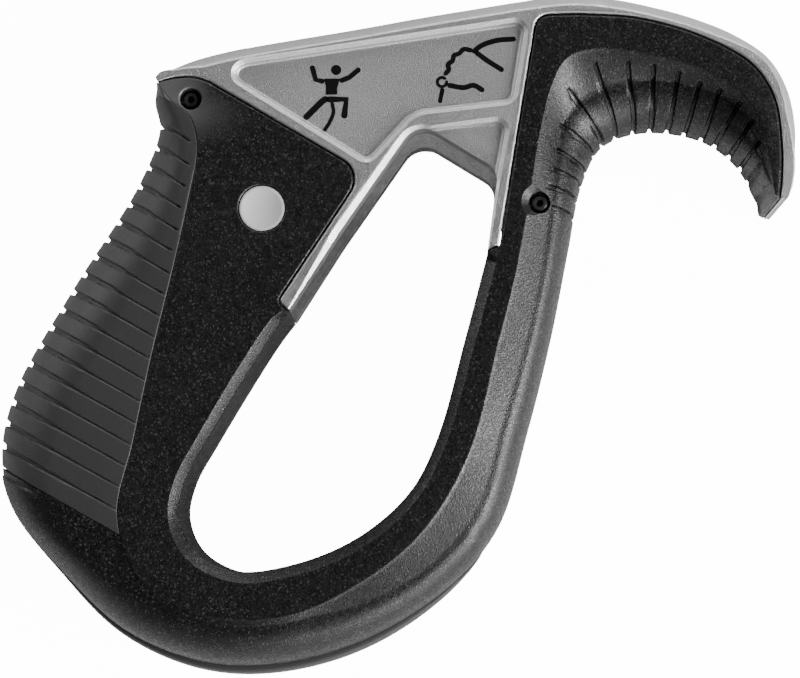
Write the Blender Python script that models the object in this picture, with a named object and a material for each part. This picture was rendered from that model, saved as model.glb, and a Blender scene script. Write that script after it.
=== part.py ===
"""Assisted-braking belay device with a thumb hook, lying on its far side.

Frame: millimetres in the design values, metres in the scene. +X runs from the
handle to the thumb hook, +Y from the bottom of the carabiner window to the rope
slot, and +Z up through the thickness. The origin is the centre of the overall
box at its lowest level.

The near half is drawn once, above the parting plane. The far half is its mirror.
"""
import math

import bmesh
import bpy
from mathutils import Matrix, Vector

MM = 0.001

# Overall sizes
LENGTH = 107.3            # handle to hook, along X
HEIGHT = 91.4             # bottom to spine, along Y
THICKNESS = 22.0          # across both faces, along Z

# Frame
CHANNEL_WIDTH = 12.6      # rope slot between the cheeks
CROWN = 2.6               # how far the top edge leans in from middle to face
CROWN_POWER = 2.5
POCKET_DEPTH = 1.1
POCKET_SLOPE = 0.9        # plan width of the pockets' sloped walls
WEB_WIDTH = 9.4           # hidden lugs between the shells

# Brake insert
INSERT_THICKNESS = 1.5
INSERT_SIDE_CLEARANCE = 0.4
RIVET_DIAMETER = 2.0
RIVET_DEPTH = 3.2         # into the web
RIVET_HEAD_SUNK = 0.05    # below the insert's face
RIVET_SIDES = 16

# Shells
WALL = 2.2
CHAMFER = 1.5             # on the shells around the carabiner window
METAL_EDGE = 0.3          # small edge break where a shell meets the frame
GAP = 0.3                 # between neighbouring pieces
CLEAR_OF = 1.0            # how far a cutter runs past the face it opens
LEAST_HOLLOW = 0.4        # least depth of the shells' hollow

# Grip pads, bumper, pins and badges
PAD_THICKNESS = 1.2
BUMPER_WIDTH = 3.8        # along Z
BUMPER_DEPTH = 2.6        # in from the shells' edge
BUMPER_PROUD = 1.4        # out from the shells' edge, at the middle of the sweep
PIN_DIAMETER = 2.0
PIN_RECESS = 0.8          # of the handle pin, below the flat faces
HOOK_PIN_RECESS = 1.7     # the shells are thinner there
SEAT_UNDER_PIN = 0.6      # how far the counterbore goes below the pin's end
COUNTERBORE_DIAMETER = 2.9
BADGE_DIAMETER = 6.0
BADGE_THICKNESS = 0.5
BADGE_SUNK = 0.1          # below the flat faces, so that nothing stands on it

# Worked out
MID = THICKNESS / 2
HALF = THICKNESS / 2
SEAT = PAD_THICKNESS + GAP
DRAWN_LENGTH = 107.3      # the outlines below are drawn at this length and height
DRAWN_HEIGHT = 91.4
STRETCH_X = LENGTH / DRAWN_LENGTH
STRETCH_Y = HEIGHT / DRAWN_HEIGHT
SPAN_STEPS = 3            # points on each span of a curve
FILLET_STEPS = 4


# ---------------------------------------------------------------- outline tools

def place(points):
    """Design points as vectors at the overall length and height."""
    return [Vector((x * STRETCH_X, y * STRETCH_Y)) for x, y in points]


def curve(points, steps=SPAN_STEPS):
    """A smooth open curve through the points."""
    pts = place(points)
    first = pts[0] * 2 - pts[1]
    last = pts[-1] * 2 - pts[-2]
    pts = [first] + pts + [last]
    out = []
    for i in range(1, len(pts) - 2):
        before, start, end, after = pts[i - 1:i + 3]
        gaps = [math.sqrt((b - a).length) for a, b in ((before, start), (start, end), (end, after))]
        lead_in = slope_at(before, start, end, gaps[0], gaps[1]) * gaps[1]
        lead_out = slope_at(start, end, after, gaps[1], gaps[2]) * gaps[1]
        for k in range(steps):
            out.append(hermite(start, end, lead_in, lead_out, k / steps))
    out.append(pts[-2])
    return out


def slope_at(a, b, c, gap_ab, gap_bc):
    """The curve's slope at b, from its neighbours a and c."""
    return (b - a) / gap_ab - (c - a) / (gap_ab + gap_bc) + (c - b) / gap_bc


def hermite(start, end, lead_in, lead_out, t):
    """The point at t on the cubic with these ends and end slopes."""
    t2, t3 = t * t, t * t * t
    position = start * (2 * t3 - 3 * t2 + 1) + end * (3 * t2 - 2 * t3)
    return position + lead_in * (t3 - 2 * t2 + t) + lead_out * (t3 - t2)


def rounded(corners, closed=False, steps=FILLET_STEPS):
    """Straight runs between corners (x, y, radius), each corner an arc."""
    pts = place([(x, y) for x, y, _ in corners])
    count = len(pts)
    out = []
    for i, (point, corner) in enumerate(zip(pts, corners)):
        radius = corner[2]
        if radius == 0 or (not closed and i in (0, count - 1)):
            out.append(point)
            continue
        back = (pts[i - 1] - point).normalized()
        ahead = (pts[(i + 1) % count] - point).normalized()
        half_angle = math.acos(max(-1.0, min(1.0, back.dot(ahead)))) / 2
        reach = radius / math.tan(half_angle)
        centre = point + (back + ahead).normalized() * radius / math.sin(half_angle)
        start = point + back * reach - centre
        end = point + ahead * reach - centre
        sweep = math.atan2(start.x * end.y - start.y * end.x, start.dot(end))
        for k in range(steps + 1):
            turn = Matrix.Rotation(sweep * k / steps, 2)
            out.append(centre + turn @ start)
    return out


def offset(points, distance, closed=False):
    """The points moved to their left by distance."""
    count = len(points)
    out = []
    for i, point in enumerate(points):
        before = points[i - 1] if closed or i else point
        after = points[(i + 1) % count] if closed or i < count - 1 else point
        along = (after - before).normalized()
        out.append(point + Vector((-along.y, along.x)) * distance)
    return out


class Path:
    """A polyline that can be read at any distance along it."""

    def __init__(self, points):
        self.points = [p for i, p in enumerate(points) if i == 0 or (p - points[i - 1]).length > 1e-4]
        self.at = [0.0]
        for a, b in zip(self.points, self.points[1:]):
            self.at.append(self.at[-1] + (b - a).length)
        self.length = self.at[-1]

    def read(self, distance):
        """The point at this distance along the path."""
        distance = max(0.0, min(self.length, distance))
        for i in range(len(self.at) - 1):
            if distance <= self.at[i + 1]:
                share = (distance - self.at[i]) / (self.at[i + 1] - self.at[i])
                return self.points[i].lerp(self.points[i + 1], share)
        return self.points[-1]

    def nearest(self, target):
        """The distance along the path of its point nearest to target."""
        best = (1e9, 0.0)
        for i in range(len(self.points) - 1):
            a, b = self.points[i], self.points[i + 1]
            share = max(0.0, min(1.0, (target - a).dot(b - a) / (b - a).length_squared))
            gap = (a.lerp(b, share) - target).length
            best = min(best, (gap, self.at[i] + share * (b - a).length))
        return best[1]


def smooth_step(value, low, high):
    """0 below low, 1 above high, and a soft ramp between."""
    t = max(0.0, min(1.0, (value - low) / (high - low)))
    return t * t * (3 - 2 * t)


# ---------------------------------------------------------------- the outlines

def shell_outer_edge():
    """The shells' outer edge at the parting plane: handle, bottom, leg, thumb side of the hook."""
    return curve([
        (-33.1, 34.3), (-33.5, 32.0), (-32.7, 28.3), (-35.3, 20.8), (-44.1, 6.7),
        (-51.7, -7.0), (-53.6, -15.5), (-51.9, -22.7), (-44.9, -31.4), (-36.4, -39.2),
        (-26.1, -43.3), (-15.8, -43.5), (-4.0, -40.1), (7.0, -33.0), (13.2, -25.5),
        (17.2, -12.7), (20.4, 0.0), (22.8, 12.0), (24.5, 20.4), (27.3, 25.9),
        (32.8, 28.0), (40.8, 26.9), (45.9, 23.2), (48.6, 18.9), (49.9, 16.9),
    ])


def crease_line():
    """Where the flat faces turn down: the pad's border on the handle, then the long crease."""
    return curve([
        (-32.5, 33.6), (-30.3, 31.0), (-27.6, 28.6), (-26.6, 24.5), (-27.7, 17.6),
        (-29.9, 7.5), (-32.4, -3.0), (-34.8, -14.5), (-36.8, -24.5), (-33.4, -33.0),
        (-25.0, -37.2), (-15.0, -37.3), (-6.0, -33.5), (2.8, -26.6), (9.1, -16.3),
        (13.2, -1.0), (15.7, 9.2), (17.3, 17.8), (18.6, 26.0), (20.4, 33.1),
        (22.4, 36.4), (26.5, 37.6), (33.0, 36.8), (41.5, 34.2), (47.2, 29.3),
        (48.9, 23.0), (49.6, 18.0),
    ])


def panel_edge():
    """The frame's border with the handle panel, from the handle's end to the near tongue's tip."""
    arch = curve([(-31.9, 33.2), (-30.2, 33.7), (-27.3, 33.9), (-25.2, 33.3)], 3)
    return arch + rounded([(-24.2, 32.7, 0), (-4.7, 21.2, 3.0), (-16.1, 3.9, 0.9), (-14.5, 2.85, 0)])


def window_shell_edge():
    """The part of the carabiner window's wall that the shells make, from tongue to tongue."""
    return curve([
        (-14.5, 2.85), (-17.0, -0.6), (-25.0, -13.7), (-28.1, -19.4), (-28.9, -24.0),
        (-26.9, -28.5), (-21.6, -31.3), (-14.0, -30.5), (-5.5, -27.0), (1.4, -21.0),
        (5.0, -14.0), (8.7, -0.8), (11.75, 10.8),
    ])


def window_frame_edge():
    """The part of the carabiner window's wall that the frame makes, from right to left."""
    return rounded([
        (11.75, 10.8, 0), (13.1, 21.6, 2.6), (2.5, 28.1, 3.2), (-7.7, 13.4, 30), (-14.5, 2.85, 0),
    ])


def hook_edge():
    """The frame's border with the hook shell, from the right tongue's tip to the hook's tip."""
    side = rounded([(11.75, 10.8, 0), (13.25, 11.3, 0.6), (18.35, 42.1, 1.9), (21.5, 42.2, 0)])
    return side + curve([
        (24.3, 42.25), (31.7, 41.7), (40.0, 39.3), (46.7, 35.5), (49.6, 31.0),
        (50.5, 25.0), (50.5, 20.5), (50.2, 17.5),
    ])


def spine_line():
    """The frame's top edge at the middle of the thickness, from the handle's end to the hook's tip."""
    return curve([
        (-33.0, 35.0), (-31.6, 36.6), (-26.6, 38.4), (-19.3, 39.4), (-5.6, 41.5),
        (10.0, 44.3), (17.0, 45.6), (24.0, 46.2), (31.0, 45.8), (38.0, 44.4),
        (45.0, 41.7), (50.2, 38.0), (52.8, 33.6), (53.7, 27.0), (53.3, 20.5),
        (52.2, 16.9), (51.3, 16.2), (50.6, 16.6),
    ])


UPPER_POCKET = [
    (-24.0, 34.6, 1.3), (-20.5, 36.3, 4.0), (17.4, 42.0, 1.5), (15.5, 30.3, 2.0),
    (2.2, 28.8, 4.0), (-4.0, 22.0, 1.8),
]
LOWER_POCKET = [(3.4, 27.2, 0), (14.9, 28.7, 1.2), (12.9, 18.0, 0), (7.0, 18.0, 0)]
CHANNEL = [
    (-20.5, 60.0, 0), (-20.5, 33.0, 1.5), (-5.6, 24.2, 1.0), (-5.9, 21.5, 1.0), (-18.5, 2.0, 0),
    (0.0, -6.0, 0), (15.0, 8.0, 0), (15.5, 24.0, 0), (17.2, 34.0, 2.0), (17.2, 60.0, 0),
]
HANDLE_LUG = [(-31.5, 37.0, 0), (-31.0, 29.6, 2.0), (-26.0, 27.6, 2.0), (-22.6, 33.0, 1.0), (-22.6, 37.0, 0)]
HOOK_WEB = [
    (16.9, 44.0, 0), (16.9, 35.6, 2.0), (14.45, 21.0, 8.0), (13.5, 14.6, 1.0), (20.7, 14.6, 2.5),
    (20.9, 21.0, 4.0), (20.4, 31.5, 6.0), (24.4, 40.0, 3.0), (25.5, 44.0, 0),
]
HANDLE_PIN_AT = (-27.6, 31.0)
HOOK_PIN_AT = (18.6, 17.2)
BADGE_AT = (-18.1, 16.4)

# Matching places on the outer edge, the crease and the inner edge. Between two rows
# the three lines keep step, so that a rung never crosses the next.
RUNGS = [
    ((-32.7, 28.3), (-27.0, 25.8), (-18.0, 29.0)),     # first grip groove
    ((-36.3, 19.3), (-28.3, 14.5), (-5.9, 20.5)),      # panel corner
    ((-42.4, 9.4), (-31.0, 2.5), (-15.0, 3.2)),        # left tongue's tip
    ((-53.4, -17.0), (-36.9, -25.5), (-28.7, -22.0)),  # last grip groove
    ((-44.9, -31.4), (-33.4, -33.0), (-28.0, -27.2)),
    ((-21.0, -43.8), (-20.0, -37.5), (-19.5, -31.4)),  # lowest point
    ((7.0, -33.0), (2.8, -26.6), (0.5, -22.0)),
    ((22.5, 11.0), (15.7, 9.2), (11.75, 10.8)),        # right tongue's tip
    ((23.4, 16.0), (17.2, 17.5), (14.4, 18.0)),        # first hook groove
    ((27.4, 26.2), (20.9, 34.2), (18.5, 41.6)),        # hook's root
    ((33.9, 28.0), (33.5, 36.7), (34.0, 41.3)),
    ((42.6, 26.1), (44.0, 32.5), (45.9, 36.1)),
    ((47.4, 21.4), (48.8, 23.5), (50.5, 24.0)),
]


# ---------------------------------------------------------------- the band of the body

class Band:
    """The shells' band: rungs from outer edge to crease to inner edge, all round the body."""

    def __init__(self):
        self.outer = Path(shell_outer_edge())
        self.crease = Path(crease_line())
        inner = panel_edge() + window_shell_edge()[1:] + hook_edge()[1:]
        self.inner = Path(inner)
        self.marks = [(0.0, 0.0, 0.0)]
        for row in RUNGS:
            spots = place(row)
            lines = (self.outer, self.crease, self.inner)
            self.marks.append(tuple(line.nearest(spot) for line, spot in zip(lines, spots)))
        self.marks.append((self.outer.length, self.crease.length, self.inner.length))

    def station(self, share):
        """The rung at share, counted in rows of RUNGS from 0 at the handle's end."""
        row = min(int(share), len(self.marks) - 2)
        part = share - row
        low, high = self.marks[row], self.marks[row + 1]
        along = [a + (b - a) * part for a, b in zip(low, high)]
        return self.outer.read(along[0]), self.crease.read(along[1]), self.inner.read(along[2])

    def share_at_inner(self, distance):
        """The share whose rung meets the inner edge at this distance along it."""
        for row, (low, high) in enumerate(zip(self.marks, self.marks[1:])):
            if distance <= high[2]:
                return row + (distance - low[2]) / (high[2] - low[2])
        return float(self.rows)

    @property
    def rows(self):
        return len(self.marks) - 1


def ramp(share, table):
    """The value at share, straight between the (share, value) rows of a short table."""
    if share <= table[0][0]:
        return table[0][1]
    for (a, low), (b, high) in zip(table, table[1:]):
        if share <= b:
            return low + (high - low) * (share - a) / (b - a)
    return table[-1][1]


# How the section changes round the body, by rows of RUNGS
ROUND_WIDTH = [(0, 1.2), (1, 4.5), (2, 7.5), (3, 9.0), (4, 9.0), (6, 6.0), (7, 3.6), (9, 3.4),
               (10, 6.0), (12, 5.0), (13, 1.6), (14, 0.5)]
SHOULDER_DROP = [(4, 0.0), (6, 0.5), (7, 1.6), (9, 1.8), (10, 3.2), (12, 3.0), (13, 1.6), (14, 0.8)]
PAD_FROM, PAD_TO = 0.45, 4.12
BUMPER_FROM, BUMPER_TO = 4.25, 7.15
WINDOW_FROM, WINDOW_TO = 3.0, 8.0
LUG_TO = 0.95             # the handle lug passes under the shells' edge up to here
WEB_FROM, WEB_TO = 8.5, 10.56
STATIONS_PER_ROW = 4
LEAST_STEP = 0.035
END_ROOM = 0.05           # left free at a strip's or pad's ends, in rows
TIP_ROOM = 0.02
BUMPER_STEPS = 34
ROUND_STEPS = 3           # points on the rounded outer edge


def round_width(share, width):
    """The plan width of the rounded outer edge, held inside the rung."""
    return min(ramp(share, ROUND_WIDTH), width * 0.85)


def skin(share, rung, inset, base):
    """Points of the outer surface, moved in by inset, from the edge at height base to the crease."""
    edge, crease, _ = rung
    width = (crease - edge).length
    rounding = round_width(share, width)
    inset = min(inset, width * 0.4)
    top = MID + HALF - inset
    shoulder = top - ramp(share, SHOULDER_DROP)
    out = []
    for k in range(ROUND_STEPS + 1):
        angle = math.pi / 2 * k / ROUND_STEPS
        reach = inset + (max(rounding, inset + 0.2) - inset) * (1 - math.cos(angle))
        out.append((edge.lerp(crease, reach / width), base + (shoulder - base) * math.sin(angle)))
    return out


def parting_height(share):
    """The level of the near shell's lower edge, which is higher along the bumper."""
    rise = smooth_step(share, BUMPER_FROM - 0.08, BUMPER_FROM + 0.02)
    rise *= 1 - smooth_step(share, BUMPER_TO - 0.02, BUMPER_TO + 0.06)
    return MID + GAP / 2 + rise * (BUMPER_WIDTH / 2 + GAP / 2)


def inner_wall_foot(share):
    """The level of the inner wall's lower edge, which stops above the frame's hidden lugs."""
    over_lug = 1 - smooth_step(share, LUG_TO, LUG_TO + 0.04)
    over_web = smooth_step(share, WEB_FROM - 0.06, WEB_FROM)
    over_web *= 1 - smooth_step(share, WEB_TO, WEB_TO + 0.05)
    low = MID + GAP / 2
    return low + max(over_lug, over_web) * (WEB_WIDTH / 2 + GAP)


def edge_break(share):
    """The chamfer along the inner edge: wide round the window, small beside the frame."""
    near_window = smooth_step(share, WINDOW_FROM - 0.02, WINDOW_FROM + 0.06)
    near_window *= 1 - smooth_step(share, WINDOW_TO - 0.03, WINDOW_TO)
    return METAL_EDGE + near_window * (CHAMFER - METAL_EDGE)


def under_pad(share):
    """How deep the shell's surface lies below the pad's outer surface."""
    there = smooth_step(share, PAD_FROM - 0.03, PAD_FROM)
    there *= 1 - smooth_step(share, PAD_TO, PAD_TO + 0.03)
    return SEAT * there


def shell_section(band, share):
    """The closed section of the near shell at one rung."""
    rung = band.station(share)
    edge, crease, inner = rung
    flat = (inner - crease).length
    across = (crease - edge).length
    seat = under_pad(share)
    top = MID + HALF
    base = parting_height(share)
    foot = inner_wall_foot(share)
    bevel = min(edge_break(share), flat * 0.4)
    wall = min(WALL, (flat + across) * 0.3)
    border = min(GAP, across * 0.2)

    outside = skin(share, rung, seat, base)
    outside.append((edge.lerp(crease, 1 - border / across), top - seat))
    outside.append((crease, top))
    outside.append((inner.lerp(crease, bevel / flat), top))
    outside.append((inner, top - bevel))
    outside.append((inner, foot))

    roof = max(base, foot) + LEAST_HOLLOW
    roof = max(roof, top - wall - seat)
    hollow = skin(share, rung, min(wall + seat, across * 0.45), base)
    limit = hollow[-1][1]
    hollow = [(point, min(height, roof)) for point, height in hollow]
    inner_wall = min(wall, flat * 0.45)
    inside = [(inner.lerp(crease, inner_wall / flat), foot)]
    inside.append((inner.lerp(crease, inner_wall / flat), max(foot + 0.2, min(roof, top - wall))))
    inside.append((crease, max(foot + 0.2, min(roof, top - wall - seat))))
    inside += [(point, max(base, min(height, limit))) for point, height in reversed(hollow)]
    return outside + inside


def stations(band, start, end):
    """Shares from start to end: even steps, every corner of the inner edge, and both sides of each change."""
    shares = [k / STATIONS_PER_ROW for k in range(band.rows * STATIONS_PER_ROW + 1)]
    shares += [band.share_at_inner(distance) for distance in band.inner.at]
    for share in (PAD_FROM, PAD_TO, BUMPER_FROM, BUMPER_TO, WINDOW_FROM, WINDOW_TO, LUG_TO, WEB_FROM, WEB_TO):
        shares += [share - 0.04, share + 0.04]
    kept = [start]
    for share in sorted(shares):
        if kept[-1] + LEAST_STEP < share < end - LEAST_STEP:
            kept.append(share)
    return kept + [end]


# ---------------------------------------------------------------- mesh tools

def new_object(name, mesh_builder, material):
    """An object with the builder's closed mesh, in metres."""
    mesh = bpy.data.meshes.new(name)
    bm = bmesh.new()
    mesh_builder(bm)
    bmesh.ops.scale(bm, vec=(MM, MM, MM), verts=bm.verts)
    bmesh.ops.triangulate(bm, faces=[f for f in bm.faces if len(f.verts) > 4])
    bmesh.ops.recalc_face_normals(bm, faces=bm.faces)
    bm.to_mesh(mesh)
    bm.free()
    mesh.materials.append(material)
    obj = bpy.data.objects.new(name, mesh)
    bpy.context.scene.collection.objects.link(obj)
    obj.parent = bpy.data.objects["device"]
    return obj


def loft(bm, sections):
    """Closed sections joined in order, with a flat cap at each end."""
    rings = [[bm.verts.new(co) for co in section] for section in sections]
    for ring, after in zip(rings, rings[1:]):
        count = len(ring)
        for i in range(count):
            j = (i + 1) % count
            bm.faces.new((ring[i], ring[j], after[j], after[i]))
    bm.faces.new(rings[0])
    bm.faces.new(list(reversed(rings[-1])))


def raised(outline, height):
    """The outline's points at this height."""
    return [(p.x, p.y, height) for p in outline]


def prism(outline, low, high):
    """A builder for the outline extruded from low to high."""
    return lambda bm: loft(bm, [raised(outline, low), raised(outline, high)])


def circle(centre, radius, sides=24):
    """A round outline."""
    middle = place([centre])[0]
    turns = [2 * math.pi * k / sides for k in range(sides)]
    return [middle + Vector((math.cos(a), math.sin(a))) * radius for a in turns]


def rod(centre, low, high, radius, end_break=0.2):
    """A builder for a pin along Z with broken ends."""
    narrow = circle(centre, radius - end_break)
    full = circle(centre, radius)
    levels = [(narrow, low), (full, low + end_break), (full, high - end_break), (narrow, high)]
    return lambda bm: loft(bm, [raised(outline, z) for outline, z in levels])


def mirrored(builder):
    """The same shape on the far side of the parting plane."""
    def build(bm):
        builder(bm)
        for vert in bm.verts:
            vert.co.z = 2 * MID - vert.co.z
    return build


def cut(target, tool):
    """Takes the tool's shape out of the target."""
    join(target, tool, "DIFFERENCE")


def join(target, tool, operation="UNION"):
    """A Boolean of target with tool, which is hidden."""
    tool.hide_render = True
    tool.display_type = "WIRE"
    modifier = target.modifiers.new(tool.name, "BOOLEAN")
    modifier.operation = operation
    modifier.solver = "EXACT"
    modifier.object = tool


def finish(name, colour, roughness, metallic):
    """A plain Principled material."""
    material = bpy.data.materials.new(name)
    material.use_nodes = True
    shader = material.node_tree.nodes["Principled BSDF"]
    shader.inputs["Base Color"].default_value = (*colour, 1.0)
    shader.inputs["Roughness"].default_value = roughness
    shader.inputs["Metallic"].default_value = metallic
    material.diffuse_color = (*colour, 1.0)
    return material


# ---------------------------------------------------------------- the pieces

def frame_loop():
    """The frame's whole outline, with how much of the crown each point takes."""
    top = Path(spine_line()).points
    left = offset(panel_edge(), GAP)
    right = offset(hook_edge(), GAP)
    window = window_frame_edge()
    crown = []
    for point in top:
        x = point.x / STRETCH_X
        at_handle = 1 - smooth_step(x, -33.0, -26.0)
        at_tip = smooth_step(x, 43.0, 50.0)
        above_tip = smooth_step(point.y / STRETCH_Y, 19.0, 30.0)
        crown.append((1 - 0.75 * at_handle) * (1 - at_tip + 0.7 * at_tip * above_tip))
    loop = top + list(reversed(right)) + window[1:-1] + list(reversed(left))
    weights = crown + [0.0] * (len(loop) - len(top))
    kept = [(p, w) for i, (p, w) in enumerate(zip(loop, weights)) if (p - loop[i - 1]).length > 0.05]
    return [p for p, _ in kept], [w for _, w in kept]


def frame_body(bm):
    """The full-thickness forging, with its crowned top edge, before the slot is cut."""
    loop, weights = frame_loop()
    inward = [a - b for a, b in zip(offset(loop, -1.0, closed=True), loop)]
    sections = []
    for share in (-1.0, -0.85, -0.6, 0.0, 0.6, 0.85, 1.0):
        lean = CROWN * abs(share) ** CROWN_POWER
        outline = [p + n * (w * lean) for p, n, w in zip(loop, inward, weights)]
        sections.append(raised(outline, MID + HALF * share))
    loft(bm, sections)


def pocket(outline):
    """A builder for the tool of one shallow pocket in the near face, with sloped walls."""
    rim = rounded(outline, closed=True)
    floor = offset(rim, -POCKET_SLOPE, closed=True)
    above = offset(rim, CLEAR_OF * POCKET_SLOPE / POCKET_DEPTH, closed=True)
    top = MID + HALF
    levels = [(floor, top - POCKET_DEPTH), (rim, top), (above, top + CLEAR_OF)]
    return lambda bm: loft(bm, [raised(line, z) for line, z in levels])


def build_frame(material):
    """One forging: two cheeks, the spine out to the hook's tip, and the hidden lugs."""
    frame = new_object("frame", frame_body, material)
    channel = rounded(CHANNEL, closed=True)
    slot = new_object("slot_tool", prism(channel, MID - CHANNEL_WIDTH / 2, MID + CHANNEL_WIDTH / 2), material)
    cut(frame, slot)
    for name, outline in (("upper", UPPER_POCKET), ("lower", LOWER_POCKET)):
        cut(frame, new_object(name + "_pocket_tool", pocket(outline), material))
        cut(frame, new_object(name + "_far_pocket_tool", mirrored(pocket(outline)), material))
    low, high = MID - WEB_WIDTH / 2, MID + WEB_WIDTH / 2
    for name, outline in (("handle_lug_tool", HANDLE_LUG), ("hook_web_tool", HOOK_WEB)):
        join(frame, new_object(name, prism(rounded(outline, closed=True), low, high), material))
    for name, spot in (("handle", HANDLE_PIN_AT), ("hook", HOOK_PIN_AT)):
        bore = prism(circle(spot, PIN_DIAMETER / 2 + GAP), 0.0, THICKNESS)
        cut(frame, new_object(name + "_bore_tool", bore, material))
    for k, seat in enumerate(rivet_seats()):
        cut(frame, new_object(f"rivet_bore_tool_{k}", rivet(seat, GAP), material))
    return frame


def insert_line():
    """The face of the hook web that the brake insert covers, from bottom to top."""
    return rounded([(14.45, 21.0, 0), (16.9, 35.6, 2.0), (16.9, 43.0, 0)])


def brake_insert(bm):
    """A steel strip that lines the brake end of the rope slot."""
    back = offset(insert_line(), GAP)
    front = offset(insert_line(), GAP + INSERT_THICKNESS)
    half_width = CHANNEL_WIDTH / 2 - INSERT_SIDE_CLEARANCE
    outline = back + list(reversed(front))
    loft(bm, [raised(outline, MID - half_width), raised(outline, MID + half_width)])


def rivet_seats():
    """Where the insert's two rivets sit: a point on the web's face and the way they go in."""
    line = Path(insert_line())
    seats = []
    for share in (0.3, 0.78):
        at = line.length * share
        along = (line.read(at + 0.5) - line.read(at - 0.5)).normalized()
        seats.append((line.read(at), Vector((along.y, -along.x))))
    return seats


def rivet(seat, clearance=0.0):
    """A builder for one rivet, or its hole with a clearance."""
    spot, inward = seat
    radius = RIVET_DIAMETER / 2 + clearance
    head = GAP + INSERT_THICKNESS
    start = -head - CLEAR_OF if clearance else RIVET_HEAD_SUNK - head
    end = RIVET_DEPTH + clearance
    side = Vector((-inward.y, inward.x))

    def build(bm):
        sections = []
        for reach in (start, end):
            ring = []
            for k in range(16):
                angle = 2 * math.pi * k / RIVET_SIDES
                point = spot + inward * reach + side * (radius * math.cos(angle))
                ring.append((point.x, point.y, MID + radius * math.sin(angle)))
            sections.append(ring)
        loft(bm, sections)
    return build


def near_shell(band):
    """A builder for the near shell, hollow and open at the parting plane."""
    shares = stations(band, END_ROOM, band.rows - TIP_ROOM)

    def build(bm):
        sections = []
        for share in shares:
            section = shell_section(band, share)
            sections.append([(p.x, p.y, z) for p, z in section])
        loft(bm, sections)
    return build


def near_grip(band):
    """A builder for the near grip pad, a thick skin over the handle's rounded side."""
    shares = stations(band, PAD_FROM + END_ROOM, PAD_TO - END_ROOM)

    def build(bm):
        sections = []
        for share in shares:
            rung = band.station(share)
            edge, crease, _ = rung
            base = MID + GAP / 2
            border = 1 - 2 * GAP / (crease - edge).length
            top = MID + HALF
            outside = skin(share, rung, 0.0, base) + [(edge.lerp(crease, border), top)]
            inside = skin(share, rung, PAD_THICKNESS, base)
            inside.append((edge.lerp(crease, border), top - PAD_THICKNESS))
            section = outside + list(reversed(inside))
            sections.append([(p.x, p.y, z) for p, z in section])
        loft(bm, sections)
    return build


def bottom_bumper(band):
    """A builder for the bumper strip between the shells, proud at the bottom and flush at its ends."""
    def build(bm):
        sections = []
        for k in range(BUMPER_STEPS + 1):
            part = k / BUMPER_STEPS
            share = BUMPER_FROM + END_ROOM + (BUMPER_TO - BUMPER_FROM - 2 * END_ROOM) * part
            edge, crease, _ = band.station(share)
            out = (edge - crease).normalized()
            proud = BUMPER_PROUD * math.sin(math.pi * part) ** 0.6
            reach = BUMPER_DEPTH
            half = BUMPER_WIDTH / 2 - GAP / 2
            profile = [(-reach, -half), (0.0, -half), (proud * 0.7, -half * 0.8), (proud, -half * 0.35),
                       (proud, half * 0.35), (proud * 0.7, half * 0.8), (0.0, half), (-reach, half)]
            section = [(edge + out * shift, MID + z) for shift, z in profile]
            sections.append([(p.x, p.y, z) for p, z in section])
        loft(bm, sections)
    return build


def build_shell_side(band, side, shell_material, pad_material, badge_material):
    """One half: its shell with the pin and badge seats cut, its grip pad and its badge."""
    turn = mirrored if side == "far" else (lambda builder: builder)
    shell = new_object(side + "_shell", turn(near_shell(band)), shell_material)
    top = MID + HALF
    for name, spot in (("handle", HANDLE_PIN_AT), ("hook", HOOK_PIN_AT)):
        hole = prism(circle(spot, PIN_DIAMETER / 2 + GAP), MID - CLEAR_OF, top + CLEAR_OF)
        seat = prism(circle(spot, COUNTERBORE_DIAMETER / 2), top - PIN_RECESS - SEAT_UNDER_PIN, top + CLEAR_OF)
        cut(shell, new_object(f"{side}_{name}_hole_tool", turn(hole), shell_material))
        cut(shell, new_object(f"{side}_{name}_seat_tool", turn(seat), shell_material))
    badge_low = top - BADGE_SUNK - BADGE_THICKNESS
    seat = prism(circle(BADGE_AT, BADGE_DIAMETER / 2 + GAP), badge_low - GAP, top + CLEAR_OF)
    cut(shell, new_object(side + "_badge_seat_tool", turn(seat), shell_material))
    badge = rod(BADGE_AT, badge_low, top - BADGE_SUNK, BADGE_DIAMETER / 2, 0.1)
    new_object(side + "_badge", turn(badge), badge_material)
    new_object(side + "_grip", turn(near_grip(band)), pad_material)


def centre_on_origin(device):
    """Moves the device so that its overall box stands centred on the origin."""
    bpy.context.view_layer.update()
    graph = bpy.context.evaluated_depsgraph_get()
    corners = []
    for obj in device.children:
        if not obj.hide_render:
            shape = obj.evaluated_get(graph)
            corners += [shape.matrix_world @ Vector(c) for c in shape.bound_box]
    for axis in (0, 1):
        values = [corner[axis] for corner in corners]
        device.location[axis] -= (min(values) + max(values)) / 2
    device.location.z -= min(corner.z for corner in corners)


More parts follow.
